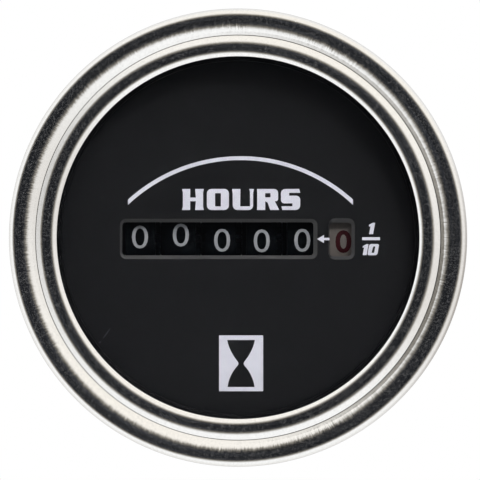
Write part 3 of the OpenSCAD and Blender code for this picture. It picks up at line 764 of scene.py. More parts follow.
# Zinc plate is bright but soft, with a faint bluish cloud and rolled grain along the strip.
ZINC = Finish(
    "zinc_plated_steel", "#a9adb2", "#bcc0c4", (0.26, 0.4), metallic=1.0, grain_mm=0.5, relief_mm=0.004,
    stretch=(1, 1, 5),
)
# The same plate on a rolled thread, without the grain of the strip.
ZINC_THREAD = Finish(
    "zinc_plated_thread", "#9fa3a8", "#b6babe", (0.26, 0.4), metallic=1.0, grain_mm=0.3, relief_mm=0.003
)
# Sintered ferrite is dark grey and dull, with a slight roughness.
FERRITE = Finish("sintered_ferrite", "#3a3b3e", "#46474a", (0.55, 0.75), grain_mm=0.15, relief_mm=0.012)
# Punched sheet for cores shows its rolling marks and a grey shine.
CORE_STEEL = Finish(
    "silicon_steel", "#8b8d90", "#999b9e", (0.3, 0.45), metallic=1.0, grain_mm=0.3, relief_mm=0.003,
    stretch=(1, 1, 8),
)
# Clear enamel over copper gives a glossy reddish brown.
WIRE = WoundWire(
    "enamelled_copper_wire", "#8a3a17", "#a24a20", (0.22, 0.34), metallic=0.7, grain_mm=0.5, relief_mm=0.002
)
# Solder mask is glossy and green, and paler over the copper.
BOARD = MaskedBoard("green_solder_mask", "#17482c", "#236a3f", (0.28, 0.38), grain_mm=0.6, relief_mm=0.002)
# Moulded epoxy is matt and nearly black, with a very fine grain.
EPOXY = Finish("moulded_epoxy", "#1b1c1e", "#222326", (0.6, 0.75), grain_mm=0.12, relief_mm=0.006)
# Rolled strip is warm and bright, with fine marks along it.
BRASS = Finish(
    "bright_brass", "#c8a24c", "#d6b261", (0.2, 0.32), metallic=1.0, grain_mm=0.3, relief_mm=0.003,
    stretch=(1, 1, 8),
)
# Turned brass carries fine rings from the lathe.
TURNED_BRASS = Finish(
    "turned_brass", "#bf9a48", "#cfab5c", (0.2, 0.34), metallic=1.0, grain_mm=0.3, relief_mm=0.003,
    stretch=(1, 8, 1),
)
# Pressed phenolic is dark brown with a faint mottle.
PHENOLIC = Finish("brown_phenolic", "#2c211a", "#3b2c22", (0.42, 0.55), grain_mm=0.7, relief_mm=0.004)
# Matt board, pale enough to keep a soft shadow.
STUDIO_FLOOR = Finish("pale_studio_floor", "#dedede", "#e2e2e2", (0.8, 0.9), grain_mm=6.0, relief_mm=0.05)


# Pieces


def make_piece(
    name: str,
    bm: Shape,
    finish: Finish,
    body: str,
    replaces: Sequence[str] = (),
    place: Matrix = FACE,
    sharp_deg: float = 32.0,
) -> bpy.types.Object:
    """Turns a mesh into a finished piece that rides on a body.

    Args:
        name: The piece's name.
        bm: Its mesh, which is freed.
        finish: Its finish.
        body: The body that it rides on.
        replaces: The nodes that it stands for.
        place: Matrix from the mesh's frame to the part's own.
        sharp_deg: Edges that turn by more than this stay sharp.

    Returns:
        The new object.
    """
    bm.transform(place)
    mesh = bpy.data.meshes.new(name)
    bm.to_mesh(mesh)
    bm.free()
    for polygon in mesh.polygons:
        polygon.use_smooth = True
    mesh.set_sharp_from_angle(angle=math.radians(sharp_deg))
    mesh.materials.append(finish.build())
    piece = bpy.data.objects.new(name, mesh)
    bpy.context.scene.collection.objects.link(piece)
    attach(piece, body)
    if replaces:
        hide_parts(*replaces)
    LOG.info("%s: %d faces, on %s", name, len(mesh.polygons), body)
    return piece


def refined(
    node: str, finish: Finish, body: str, edge_mm: float, edge_deg: float = 40.0,
    edge_steps: int = 2,
) -> bpy.types.Object:
    """Makes a copy of a node with merged faces and softened edges that stands for the node.

    Args:
        node: The node's name.
        finish: The piece's finish.
        body: The body that it rides on.
        edge_mm: Width of the softened edges.
        edge_deg: Edges that turn by more than this are softened.
        edge_steps: Number of faces across a softened edge.

    Returns:
        The new object.
    """
    bm = bmesh.new()
    bm.from_mesh(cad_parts[node].data)
    bmesh.ops.remove_doubles(bm, verts=bm.verts, dist=MERGE * MM)
    bmesh.ops.dissolve_limit(bm, angle_limit=math.radians(FLAT_DEG), verts=bm.verts, edges=bm.edges)
    bmesh.ops.scale(bm, vec=(1 / MM,) * 3, verts=bm.verts)
    piece = make_piece(f"{node}_dressed", bm, finish, body, (node,), Matrix.Scale(MM, 4))
    bevel = piece.modifiers.new("edges", "BEVEL")
    bevel.width = edge_mm * MM
    bevel.segments = edge_steps
    bevel.limit_method = "ANGLE"
    bevel.angle_limit = math.radians(edge_deg)
    bevel.harden_normals = False
    return piece


def dress_node(node: str, finish: Finish) -> None:
    """Gives a CAD node a finish.

    Args:
        node: The node's name.
        finish: Its finish.
    """
    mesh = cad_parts[node].data
    mesh.materials.clear()
    mesh.materials.append(finish.build())
    LOG.info("%s: finish %s", node, finish.name)


# Sub-assemblies


@dataclass(frozen=True)
class Bezel:
    """The chromed ring with its two beads, sizes in millimetres.

    Each bead has a round crown, and flanks that lean just enough to mirror the white tent.
    """

    reach_mm: ClassVar[float] = 30.0
    back_lip_r: float = 27.0
    chamfer: float = 0.4
    sheet: float = 0.5
    outer_c: float = 28.75
    outer_rise: float = 5.95
    outer_out_r: float = 1.62
    outer_out_deg: float = 30.0
    outer_out_steps: int = 14
    outer_in_r: float = 2.96
    flank_deg: float = 28.5
    land_r: float = 27.05
    land_deg: float = 27.5
    land_lines: int = 4
    land_line_depth: float = 0.012
    seam_r: float = 26.51
    seam_w: float = 0.06
    seam_depth: float = 0.2
    inner_c: float = 24.96
    inner_rise: float = 5.7
    inner_out_r: float = 2.04
    inner_in_r: float = 1.75
    inner_flank_deg: float = 29.5
    lip_flank_deg: float = 42.0
    lip_r: float = 23.76
    crown_steps: int = 16
    hollow_steps: int = 12
    hollow_wall: float = 0.8
    hollow_step: float = 1.2
    hollow_slope: float = 0.9
    hollow_drop: float = 0.25
    steps: int = 480

    def crown(self, top: Point, radius: float, start: float, end: float, steps: int) -> list[Point]:
        """Points of a bead's crown.

        Args:
            top: Radius and height of the crown's highest circle.
            radius: Radius of its rounding.
            start: Lean of the first point in degrees, outward positive.
            end: Lean of the last point.
            steps: Number of stretches.

        Returns:
            The points.
        """
        return arc((top[0], top[1] - radius), radius, 90 - start, 90 - end, steps)

    def land(self, start: Point, seam_out: float) -> list[Point]:
        """Points of the land between the beads, with its fine turned lines.

        Args:
            start: The foot of the outer bead.
            seam_out: The seam's outer radius.

        Returns:
            The points.
        """
        points = [start]
        pitch = (self.land_r - seam_out) / (2 * self.land_lines)
        for i in range(1, 2 * self.land_lines + 1):
            spot = flank_end(start, self.land_r - i * pitch, self.land_deg)
            points.append((spot[0], spot[1] - self.land_line_depth * (i % 2)))
        return points

    def section(self, glass_front: float) -> list[Point]:
        """Works out the ring's section.

        Args:
            glass_front: Height of the glass's front face.

        Returns:
            Radius and height of the section's corners.
        """
        top = (self.outer_c, self.outer_rise)
        outer = self.crown(top, self.outer_out_r, self.outer_out_deg, 0, self.outer_out_steps)
        outer += self.crown(top, self.outer_in_r, 0, -self.flank_deg, self.crown_steps)
        lean = math.radians(self.outer_out_deg)
        side_r = (self.reach_mm - outer[0][0]) / (1 - math.sin(lean))
        side_c = (self.reach_mm - side_r, outer[0][1] - side_r * math.cos(lean))
        side = arc(side_c, side_r, 0, 90 - self.outer_out_deg, self.crown_steps)
        seam_out, seam_in = self.seam_r + self.seam_w / 2, self.seam_r - self.seam_w / 2
        land = self.land(flank_end(outer[-1], self.land_r, self.flank_deg), seam_out)
        top = (self.inner_c, self.inner_rise)
        inner = self.crown(top, self.inner_out_r, self.inner_flank_deg, 0, self.crown_steps)
        inner += self.crown(top, self.inner_in_r, 0, -self.lip_flank_deg, self.crown_steps)
        foot = flank_end(inner[0], seam_in, self.inner_flank_deg)
        lip = flank_end(inner[-1], self.lip_r, self.lip_flank_deg)
        roof = foot[1] - self.seam_depth - self.sheet
        wall, rise = self.seam_r - self.hollow_wall, self.outer_rise - self.sheet
        return join_section(
            [(self.back_lip_r, 0), (self.reach_mm - self.chamfer, 0), (self.reach_mm, self.chamfer)],
            side, outer, land, [(self.seam_r, foot[1] - self.seam_depth), foot], inner,
            [lip, (self.lip_r, glass_front)],
            [(wall, glass_front), (wall, roof), (self.outer_c - self.hollow_step, roof)],
            [(self.outer_c - self.hollow_slope, rise - self.hollow_drop), (self.outer_c, rise)],
            arc(side_c, side_r - self.sheet, 90 - self.outer_out_deg, 0, self.hollow_steps),
            [(self.reach_mm - self.sheet, self.sheet), (self.back_lip_r, self.sheet)],
        )

    def build(self) -> None:
        """Builds the ring."""
        bm = spun(self.section(reach_of("glass")[2]), self.steps)
        make_piece("chromed_bezel", bm, CHROME, Body.METER.value, ("bezel",))


@dataclass(frozen=True)
class GlassStack:
    """Glass, gasket and spacer ring behind the bezel's lip."""

    edge: float = 0.15
    spacer_r: float = 23.3
    spacer_chamfer: float = 0.25
    steps: int = 256

    def build(self) -> None:
        """Builds the pane and the spacer, and dresses the gasket."""
        body = Body.METER.value
        radius, back, front = reach_of("glass")
        pane = [
            (0, back), (radius - self.edge, back), (radius, back + self.edge),
            (radius, front - self.edge), (radius - self.edge, front), (0, front),
        ]
        make_piece("clear_glass_pane", spun(pane, self.steps), GLASS, body, ("glass",))
        radius, back, front = reach_of("spacer_ring")
        ring = [
            (self.spacer_r, back), (radius, back), (radius, front),
            (self.spacer_r + self.spacer_chamfer, front), (self.spacer_r, front - self.spacer_chamfer),
        ]
        bm = spun(ring, self.steps)
        make_piece("dial_spacer", bm, SPACER_BLACK, body, ("spacer_ring",))
        dress_node("glass_gasket", RUBBER)


@dataclass(frozen=True)
class PhotoView:
    """The photograph's view: the camera's place and how pixels become millimetres.

    The bezel's outer circle in the photograph has its centre and radius at the pixels given here.
    """

    frame_px: float = 480.0
    centre_px: Point = (238.07, 237.66)
    radius_px: float = 229.0
    circle_r: float = 30.0
    circle_h: float = 4.87
    distance: float = 700.0
    sensor: float = 36.0

    @property
    def px_per_mm(self) -> float:
        """Pixels for each millimetre in the plane of the bezel's widest circle."""
        return self.radius_px / self.circle_r

    def camera_place(self) -> Vector:
        """The camera's place in the face frame, straight in front of the gauge."""
        return Vector((0, 0, self.circle_h + self.distance))

    def through(self, px: float, py: float, height: float) -> Point:
        """Finds the point at a height that shows at a pixel.

        Args:
            px: Column in the photograph.
            py: Row in the photograph.
            height: Height of the plane in the face frame.

        Returns:
            The point's x and y in the face frame.
        """
        right, up = px - self.centre_px[0], self.centre_px[1] - py
        spot = Vector((right / self.px_per_mm, up / self.px_per_mm, self.circle_h))
        eye = self.camera_place()
        share = (eye.z - height) / (eye.z - spot.z)
        found = eye + (spot - eye) * share
        return found.x, found.y


VIEW = PhotoView()


@dataclass(frozen=True)
class WindowCut:
    """One window of the dial by its edges in the photograph: left, right, top and bottom pixels."""

    inner_px: Box
    outer_px: Box
    inner_round: float
    outer_round: float

    def edges(self, box: Box, height: float) -> tuple[Point, Point]:
        """The lower left and upper right corner of an outline at a height, in millimetres."""
        left, right, top, bottom = box
        return VIEW.through(left, bottom, height), VIEW.through(right, top, height)


@dataclass(frozen=True)
class Dial:
    """The black dial plate with its bevelled windows and the white print on it."""

    main_window: WindowCut = WindowCut((122.2, 313.4, 222.3, 255.4), (120.0, 317.4, 218.8, 259.0), 0.45, 0.85)
    tenths_window: WindowCut = WindowCut((329.4, 351.6, 222.7, 256.3), (328.4, 354.7, 218.3, 259.6), 0.5, 0.9)
    bevel_depth: float = 0.33
    ink: float = 0.02
    steps: int = 192
    sharp_deg: float = 20.0

    def build(self) -> None:
        """Builds the plate and every print."""
        radius, back, front = reach_of("dial")
        self.plate(radius, back, front)
        Print(front, self.ink).build()

    def plate(self, radius: float, back: float, front: float) -> None:
        """Builds the plate with its windows.

        Args:
            radius: The plate's radius.
            back: Height of its back.
            front: Height of its front.
        """
        bm = bmesh.new()
        middle = front - self.bevel_depth
        loops: dict[float, list[bmesh.types.BMEdge]] = {back: [], front: []}
        walls = []
        for window in (self.main_window, self.tenths_window):
            inner_edges = window.edges(window.inner_px, middle)
            outer = rounded_rectangle(bm, *window.edges(window.outer_px, front), window.outer_round, front)
            inner = rounded_rectangle(bm, *inner_edges, window.inner_round, middle)
            rear = rounded_rectangle(bm, *inner_edges, window.inner_round, back)
            walls += [(outer, inner), (inner, rear)]
            loops[front] += outer
            loops[back] += rear
        rims = []
        for height in (front, back):
            circle = bmesh.ops.create_circle(
                bm, radius=radius, segments=self.steps, matrix=Matrix.Translation((0, 0, height))
            )
            rims.append(list({e for v in circle["verts"] for e in v.link_edges}))
            loops[height] += rims[-1]
        walls.append((rims[0], rims[1]))
        for height in (front, back):
            bmesh.ops.triangle_fill(
                bm, use_beauty=True, use_dissolve=False, edges=loops[height], normal=(0, 0, 1)
            )
        for first, second in walls:
            bmesh.ops.bridge_loops(bm, edges=first + second)
        bmesh.ops.remove_doubles(bm, verts=bm.verts, dist=MERGE)
        bmesh.ops.recalc_face_normals(bm, faces=bm.faces)
        make_piece(
            "dial_plate", bm, DIAL_PAINT, Body.METER.value, ("dial",), sharp_deg=self.sharp_deg
        )


@dataclass(frozen=True)
class Letter:
    """A letter or sign drawn from an outline in pixels of the photograph.

    hole is the opening in it. rounded holds the numbers of the corners that are rounded, counted
    along the outline, and how far in pixels.
    """

    outline: tuple[Point, ...]
    hole: tuple[Point, ...] = ()
    rounded: tuple[tuple[int, float], ...] = ()
    hole_round_px: float = 0.5


H_SIGN = Letter((
    (182.0, 189.0), (190.2, 189.0), (190.2, 197.6), (195.9, 197.6), (195.2, 189.0), (203.9, 189.0),
    (203.1, 192.5), (203.1, 206.6), (203.9, 210.0), (195.2, 210.0), (195.9, 201.2), (190.2, 201.2),
    (190.2, 210.0), (182.0, 210.0), (182.9, 206.6), (182.9, 192.5),
))
O_SIGN = Letter(
    ((206.9, 189.0), (228.9, 189.0), (228.9, 210.0), (206.9, 210.0)),
    ((215.1, 193.2), (220.9, 193.2), (220.9, 206.4), (215.1, 206.4)),
    ((0, 4.6), (1, 4.6), (2, 4.6), (3, 4.6)), 0.6,
)
U_SIGN = Letter(
    (
        (232.1, 189.0), (240.4, 189.0), (240.2, 206.3), (250.0, 206.3), (250.0, 193.0), (249.4, 189.0),
        (253.9, 189.0), (253.1, 193.0), (253.1, 210.0), (232.7, 210.0), (232.7, 193.0),
    ),
    (), ((8, 4.6), (9, 4.8)),
)
R_SIGN = Letter(
    (
        (256.9, 189.0), (278.1, 189.0), (278.1, 200.9), (274.8, 201.3), (279.2, 210.0), (270.3, 210.0),
        (267.6, 202.6), (265.2, 201.2), (265.2, 210.0), (256.9, 210.0), (257.2, 206.0), (257.2, 193.0),
    ),
    ((265.1, 193.2), (270.5, 193.2), (270.5, 197.4), (265.1, 197.4)),
    ((1, 4.2), (2, 2.0)), 0.6,
)
S_SIGN = Letter(
    (
        (280.9, 189.0), (299.2, 189.0), (300.1, 192.8), (289.2, 192.8), (289.2, 195.7), (300.2, 195.7),
        (300.2, 210.0), (282.3, 210.0), (281.4, 206.3), (292.4, 206.3), (292.4, 203.4), (280.9, 203.4),
    ),
    (), ((0, 4.4), (5, 4.2), (6, 4.6), (11, 3.4)),
)
ARROW = Letter((
    (317.0, 239.0), (323.9, 235.0), (323.9, 237.8), (329.4, 237.8), (329.4, 240.2), (323.9, 240.2),
    (323.9, 243.0),
))
ONE_ABOVE = Letter((
    (372.6, 222.8), (375.1, 222.8), (373.0, 234.1), (369.0, 234.1), (370.4, 226.4), (368.9, 226.4),
    (368.9, 224.9),
))
FRACTION_BAR = Letter(((362.1, 237.2), (379.9, 237.2), (379.9, 240.2), (362.1, 240.2)))
ONE_BELOW = Letter((
    (366.4, 244.1), (368.4, 244.1), (366.5, 255.1), (362.6, 255.1), (364.0, 247.6), (362.4, 247.6),
    (362.7, 246.2),
))
ZERO_BELOW = Letter(
    ((369.2, 244.0), (379.1, 244.0), (377.2, 255.2), (367.3, 255.2)),
    ((373.1, 246.4), (375.3, 246.4), (374.0, 252.8), (371.4, 252.8)),
    ((0, 2.0), (1, 1.8), (2, 2.2), (3, 1.6)), 0.4,
)


@dataclass(frozen=True)
class Print:
    """The white print: an arc, the word, an arrow, the fraction and the hourglass sign."""

    floor: float
    ink: float
    hole_steps: int = 3
    arc_centre_px: Point = (240.5, 323.7)
    arc_r_px: float = 165.5
    arc_w_px: float = 3.9
    arc_ends_px: Point = (128.1, 352.9)
    arc_deg: float = 100.0
    arc_steps: int = 96
    sign_px: Box = (219.1, 263.1, 335.3, 391.1)
    bulb_middle_px: float = 241.05
    bulb_side_px: tuple[Point, ...] = (
        (13.8, 339.9), (13.3, 342.6), (12.5, 345.3), (11.5, 348.0), (10.3, 350.7), (8.9, 353.4), (7.3, 356.1),
        (5.5, 358.7), (3.9, 360.8), (2.9, 362.3), (2.6, 363.6), (2.9, 364.8), (4.0, 366.2), (5.7, 368.2),
        (7.4, 370.5), (9.0, 373.1), (10.5, 376.1), (11.8, 379.4), (12.8, 382.8), (13.5, 386.9),
    )

    def build(self) -> None:
        """Builds each print as a piece of its own."""
        self.piece("print_hours", H_SIGN, O_SIGN, U_SIGN, R_SIGN, S_SIGN)
        self.piece("print_arrow", ARROW)
        self.piece("print_tenth", ONE_ABOVE, FRACTION_BAR, ONE_BELOW, ZERO_BELOW)
        self.finish("print_hourglass", self.hourglass())
        self.finish("print_arc", self.bow())

    def spots(self, points: Iterable[Point]) -> list[Point]:
        """The places on the dial that show at some pixels."""
        return [VIEW.through(px, py, self.floor) for px, py in points]

    def letter(self, sign: Letter) -> Shape:
        """Draws a letter.

        Args:
            sign: The letter's outline and opening.

        Returns:
            Its flat mesh.
        """
        bm = bmesh.new()
        corners = list(outline_face(bm, self.spots(sign.outline)).verts)
        for number, radius in sign.rounded:
            round_corners(bm, [corners[number]], radius / VIEW.px_per_mm)
        if sign.hole:
            face = outline_face(bm, self.spots(sign.hole))
            round_corners(bm, face.verts, sign.hole_round_px / VIEW.px_per_mm, self.hole_steps)
        fill_between(bm)
        return bm

    def piece(self, name: str, *signs: Letter) -> None:
        """Builds one piece from letters.

        Args:
            name: The piece's name.
            *signs: Its letters.
        """
        whole = bmesh.new()
        for sign in signs:
            absorb(whole, self.letter(sign))
        self.finish(name, whole)

    def finish(self, name: str, bm: Shape) -> None:
        """Gives flat print its thickness, lays it on the dial and makes it a piece.

        Args:
            name: The piece's name.
            bm: The flat print.
        """
        bmesh.ops.recalc_face_normals(bm, faces=bm.faces)
        thicken(bm, self.ink)
        bmesh.ops.translate(bm, verts=bm.verts, vec=(0, 0, self.floor))
        make_piece(name, bm, WHITE_INK, Body.METER.value)

    def hourglass(self) -> Shape:
        """Draws the white panel with the hourglass left open in it."""
        left, right, top, bottom = self.sign_px
        bm = bmesh.new()
        outline_face(bm, self.spots(((left, bottom), (right, bottom), (right, top), (left, top))))
        path = [(self.bulb_middle_px - off, y) for off, y in reversed(self.bulb_side_px)]
        path += [(self.bulb_middle_px + off, y) for off, y in self.bulb_side_px]
        outline_face(bm, self.spots(path))
        fill_between(bm)
        return bm

    def bow(self) -> Shape:
        """Draws the arc above the word by a turn about its own centre, with upright ends."""
        middle, top, half = self.arc_centre_px[0], self.arc_centre_px[1] - self.arc_r_px, self.arc_w_px / 2
        spot, inner, outer = self.spots((self.arc_centre_px, (middle, top + half), (middle, top - half)))
        centre = Vector((*spot, 0))
        start = Matrix.Rotation(math.radians(self.arc_deg / 2), 3, "Z")
        bm = bmesh.new()
        ends = [bm.verts.new(centre + start @ (Vector((*p, 0)) - centre)) for p in (inner, outer)]
        bmesh.ops.spin(
            bm, geom=[*ends, bm.edges.new(ends)], cent=centre, axis=(0, 0, 1),
            angle=-math.radians(self.arc_deg), steps=self.arc_steps, use_merge=False,
        )
        for px, way in zip(self.arc_ends_px, (-1, 1)):
            place = self.spots([(px, top)])[0]
            bmesh.ops.bisect_plane(
                bm, geom=everything(bm), plane_co=(place[0], 0, 0), plane_no=(way, 0, 0), clear_outer=True
            )
        return bm


@dataclass(frozen=True)
class DigitPrint:
    """Digits printed round the wheels, ten on each, with the noughts as the photograph shows them.

    Each nought's place along the shaft and its height over the shaft are as measured.
    """

    wide: float = 2.14
    tall: float = 3.05
    ink: float = 0.02
    weight: float = -0.003
    tenths_weight: float = 0.024
    font_steps: int = 4
    strip: float = 0.25
    drum_r: float = 8.0
    places: tuple[Point, ...] = ((-12.98, 0.24), (-7.57, 0.5), (-2.11, -0.2), (3.13, -0.28), (8.5, -0.2))
    tenths_place: Point = (13.94, -0.38)

    def build(self) -> None:
        """Builds the digits of each wheel as one piece."""
        flats, bold = self.flats(self.weight), self.flats(self.tenths_weight)
        shaft = self.shaft()
        for i, place in enumerate(self.places, start=1):
            bm = self.around(flats, place)
            # The digit print carries painted shade for the dim window.
            make_piece(f"digits_{i}", bm, DIGIT_INK_PAINTED_SHADE, f"number_wheel_{i}", place=shaft)
        bm = self.around(bold, self.tenths_place)
        make_piece("digits_tenths", bm, RED_INK, "tenths_wheel", place=shaft)
        for flat in flats + bold:
            bpy.data.meshes.remove(flat)

    def flats(self, weight: float) -> list[bpy.types.Mesh]:
        """Makes the ten flat digits, with the nought at its measured size.

        Args:
            weight: How much the strokes are thickened, in shares of the font's size.

        Returns:
            The ten meshes.
        """
        meshes = [self.flat(digit, weight) for digit in range(10)]
        shares = (self.wide / self.reach(meshes[0], 0), self.tall / self.reach(meshes[0], 1))
        for mesh in meshes:
            self.bendable(mesh, shares)
        return meshes

    def shaft(self) -> Matrix:
        """Matrix from a frame on the shaft's axis to the part's own."""
        low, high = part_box("number_wheel_3")
        middle = (low + high) / (2 * MM)
        return FACE @ Matrix.Translation((0, middle.z, -middle.y))

    def flat(self, digit: int, weight: float) -> bpy.types.Mesh:
        """Makes one flat digit of the font.

        Args:
            digit: The digit.
            weight: How much its strokes are thickened.

        Returns:
            Its mesh.
        """
        curve = bpy.data.curves.new("digit", "FONT")
        curve.body = str(digit)
        curve.offset = weight
        curve.resolution_u = self.font_steps
        text = bpy.data.objects.new("digit", curve)
        bpy.context.scene.collection.objects.link(text)
        mesh = bpy.data.meshes.new_from_object(text.evaluated_get(bpy.context.evaluated_depsgraph_get()))
        bpy.data.objects.remove(text)
        bpy.data.curves.remove(curve)
        return mesh

    def reach(self, mesh: bpy.types.Mesh, axis: int) -> float:
        """A flat mesh's size along an axis."""
        spots = [v.co[axis] for v in mesh.vertices]
        return max(spots) - min(spots)

    def bendable(self, mesh: bpy.types.Mesh, shares: Point) -> None:
        """Centres a flat digit, gives it its size and thickness, and cuts it so that it can bend.

        Args:
            mesh: The digit's mesh.
            shares: The scale across and up.
        """
        bm = bmesh.new()
        bm.from_mesh(mesh)
        bmesh.ops.remove_doubles(bm, verts=bm.verts, dist=MERGE)
        middle = [(max(v.co[k] for v in bm.verts) + min(v.co[k] for v in bm.verts)) / 2 for k in (0, 1)]
        bmesh.ops.translate(bm, verts=bm.verts, vec=(-middle[0], -middle[1], 0))
        bmesh.ops.scale(bm, vec=(*shares, 1), verts=bm.verts)
        thicken(bm, self.ink)
        low = self.strip - self.tall / 2
        for i in range(int((self.tall / 2 - low) / self.strip) + 1):
            bmesh.ops.bisect_plane(
                bm, geom=everything(bm), plane_co=(0, low + i * self.strip, 0), plane_no=(0, 1, 0)
            )
        bm.to_mesh(mesh)
        bm.free()

    def around(self, plans: Sequence[bpy.types.Mesh], place: Point) -> Shape:
        """Lays the ten digits round a drum.

        Args:
            plans: The ten flat digits.
            place: Place of the nought along the shaft and above it.

        Returns:
            The bent digits in a frame on the shaft's axis.
        """
        whole = bmesh.new()
        lift = math.asin(place[1] / self.drum_r)
        for digit, plan in enumerate(plans):
            bm = bmesh.new()
            bm.from_mesh(plan)
            for v in bm.verts:
                turn, reach = v.co.y / self.drum_r, self.drum_r + v.co.z
                v.co.y, v.co.z = reach * math.sin(turn), reach * math.cos(turn)
            turned = Matrix.Rotation(-math.tau * digit / len(plans) - lift, 4, "X")
            bm.transform(Matrix.Translation((place[0], 0, 0)) @ turned)
            absorb(whole, bm)
        return whole


@dataclass(frozen=True)
class Counter:
    """Number wheels, tenths wheel, carry pinions and shafts."""

    digits: DigitPrint = DigitPrint()

    def build(self) -> None:
        """Dresses the wheels and prints their digits."""
        for i in range(1, 6):
            dress_node(f"number_wheel_{i}", WHEEL_BLACK)
            dress_node(f"carry_pinion_{i}", ACETAL)
        dress_node("tenths_wheel", WHEEL_LIGHT)
        for node in ("wheel_shaft", "pinion_shaft", "gear_pins"):
            dress_node(node, GROUND_STEEL)
        self.digits.build()


@dataclass(frozen=True)
class Movement:
    """Frame, gears, stepping motor and circuit board inside the case."""

    stripe_below_mm: float = 1.0
    stripe_above_mm: float = 0.6

    def build(self) -> None:
        """Dresses each node."""
        low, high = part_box("capacitor")
        middle = (low.z + high.z) / 2 / MM
        sleeve = StripedSleeve(
            "blue_shrink_sleeve", "#1a2c5e", "#21366e", (0.18, 0.28), grain_mm=1.5, relief_mm=0.006, coat=0.4,
            stripe_low_mm=middle - self.stripe_below_mm, stripe_high_mm=middle + self.stripe_above_mm,
        )
        finishes = {
            "movement_frame": FRAME_PLASTIC, "slow_gear": ACETAL, "middle_gear": ACETAL,
            "rotor_pinion": ACETAL, "rotor_magnet": FERRITE, "stator": CORE_STEEL, "coil_bobbin": ACETAL,
            "coil_winding": WIRE, "circuit_board": BOARD, "timing_crystal": GROUND_STEEL,
            "driver_chip": EPOXY, "board_resistors": EPOXY, "capacitor": sleeve,
        }
        for node, finish in finishes.items():
            dress_node(node, finish)


@dataclass(frozen=True)
class CaseBody:
    """Drawn steel cup with its terminals, insulators and frame screws."""

    cup_edge: float = 0.12
    blade_edge: float = 0.08
    insulator_edge: float = 0.2
    screw_edge: float = 0.12

    def build(self) -> None:
        """Builds the pieces that the case carries."""
        body = Body.METER.value
        refined("case_cup", CASE_ENAMEL, body, self.cup_edge)
        refined("blade_terminals", BRASS, body, self.blade_edge)
        refined("terminal_insulators", PHENOLIC, body, self.insulator_edge)
        refined("frame_screws", ZINC, body, self.screw_edge)


@dataclass(frozen=True)
class RearClamp:
    """Two threaded studs, and the bridge that knurled nuts pull against the panel's back."""

    stud_r: float = 2.0
    pitch: float = 0.7
    thread_depth: float = 0.38
    thread_shares: tuple[float, ...] = (0.0, 0.2, 0.45, 0.6, 1.0)
    thread_steps: int = 36
    thread_merge: float = 1e-3
    flange_r: float = 3.2
    flange_t: float = 0.6
    knurls: int = 48
    knurl_depth: float = 0.22
    nut_chamfer: float = 0.35
    nut_sharp_deg: float = 20.0
    bridge_edge: float = 0.2
    washer_edge: float = 0.12

    def build(self) -> None:
        """Builds the studs, the bridge and what fastens it."""
        self.studs()
        self.nuts()
        refined("clamp_bridge", ZINC, Body.CLAMP.value, self.bridge_edge)
        refined("clamp_washers", ZINC, Body.CLAMP.value, self.washer_edge)

    def pair(self, bm: Shape, reach: float) -> Shape:
        """Sets a mesh and its copy to the left and the right of the axis.

        Args:
            bm: The mesh on the axis.
            reach: Distance of each copy from the axis.

        Returns:
            The same mesh with both.
        """
        made = bmesh.ops.duplicate(bm, geom=everything(bm))
        copied = [g for g in made["geom"] if isinstance(g, bmesh.types.BMVert)]
        others = list(set(bm.verts) - set(copied))
        bmesh.ops.translate(bm, verts=copied, vec=(reach, 0, 0))
        bmesh.ops.translate(bm, verts=others, vec=(-reach, 0, 0))
        return bm

    def thread(self, back: float, front: float) -> Shape:
        """Turns a screw thread about the axis, closed at both ends.

        Args:
            back: Height of its far end.
            front: Height of its near end.

        Returns:
            The thread's mesh.
        """
        root = self.stud_r - self.thread_depth
        turns = math.ceil((front - back) / self.pitch) + 2
        bm = bmesh.new()
        flank = zip((root, root, self.stud_r, self.stud_r, root), self.thread_shares)
        verts = [bm.verts.new((r, 0, back - self.pitch * (1 - share))) for r, share in flank]
        edges = [bm.edges.new(ends) for ends in zip(verts, verts[1:])]
        bmesh.ops.spin(
            bm, geom=verts + edges, cent=(0, 0, 0), axis=(0, 0, 1), angle=math.tau * turns,
            dvec=(0, 0, self.pitch / self.thread_steps), steps=self.thread_steps * turns, use_merge=False,
        )
        bmesh.ops.remove_doubles(bm, verts=bm.verts, dist=self.thread_merge)
        for height, way in ((back, -1), (front, 1)):
            made = bmesh.ops.bisect_plane(
                bm, geom=everything(bm), plane_co=(0, 0, height), plane_no=(0, 0, way), clear_outer=True
            )
            rim = [g for g in made["geom_cut"] if isinstance(g, bmesh.types.BMEdge)]
            bmesh.ops.edgeloop_fill(bm, edges=rim)
        bmesh.ops.recalc_face_normals(bm, faces=bm.faces)
        return bm

    def studs(self) -> None:
        """Builds both studs with their flanges."""
        right, back, front = reach_of("mounting_studs")
        bm = self.thread(back, front)
        foot = front - self.flange_t
        flange = [(0, foot), (self.flange_r, foot), (self.flange_r, front), (0, front)]
        absorb(bm, spun(flange, self.thread_steps))
        bm = self.pair(bm, right - self.flange_r)
        make_piece("threaded_studs", bm, ZINC_THREAD, Body.METER.value, ("mounting_studs",))

    def nuts(self) -> None:
        """Builds both knurled nuts."""
        low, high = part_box("clamp_nuts")
        outer = (high.z - low.z) / 2 / MM
        right, back, front = reach_of("clamp_nuts")
        hole, chamfer = self.stud_r, self.nut_chamfer
        section = [
            (hole, back), (outer - chamfer, back), (outer, back + chamfer),
            (outer, front - chamfer), (outer - chamfer, front), (hole, front),
        ]
        bm = spun(section, 2 * self.knurls)
        step = math.pi / self.knurls
        for v in bm.verts:
            spread = math.hypot(v.co.x, v.co.y)
            if spread > outer - MERGE and round(math.atan2(v.co.y, v.co.x) / step) % 2:
                v.co.xy = v.co.xy * (1 - self.knurl_depth / spread)
        make_piece(
            "knurled_nuts", self.pair(bm, right - outer), TURNED_BRASS, Body.CLAMP.value,
            ("clamp_nuts",), sharp_deg=self.nut_sharp_deg,
        )


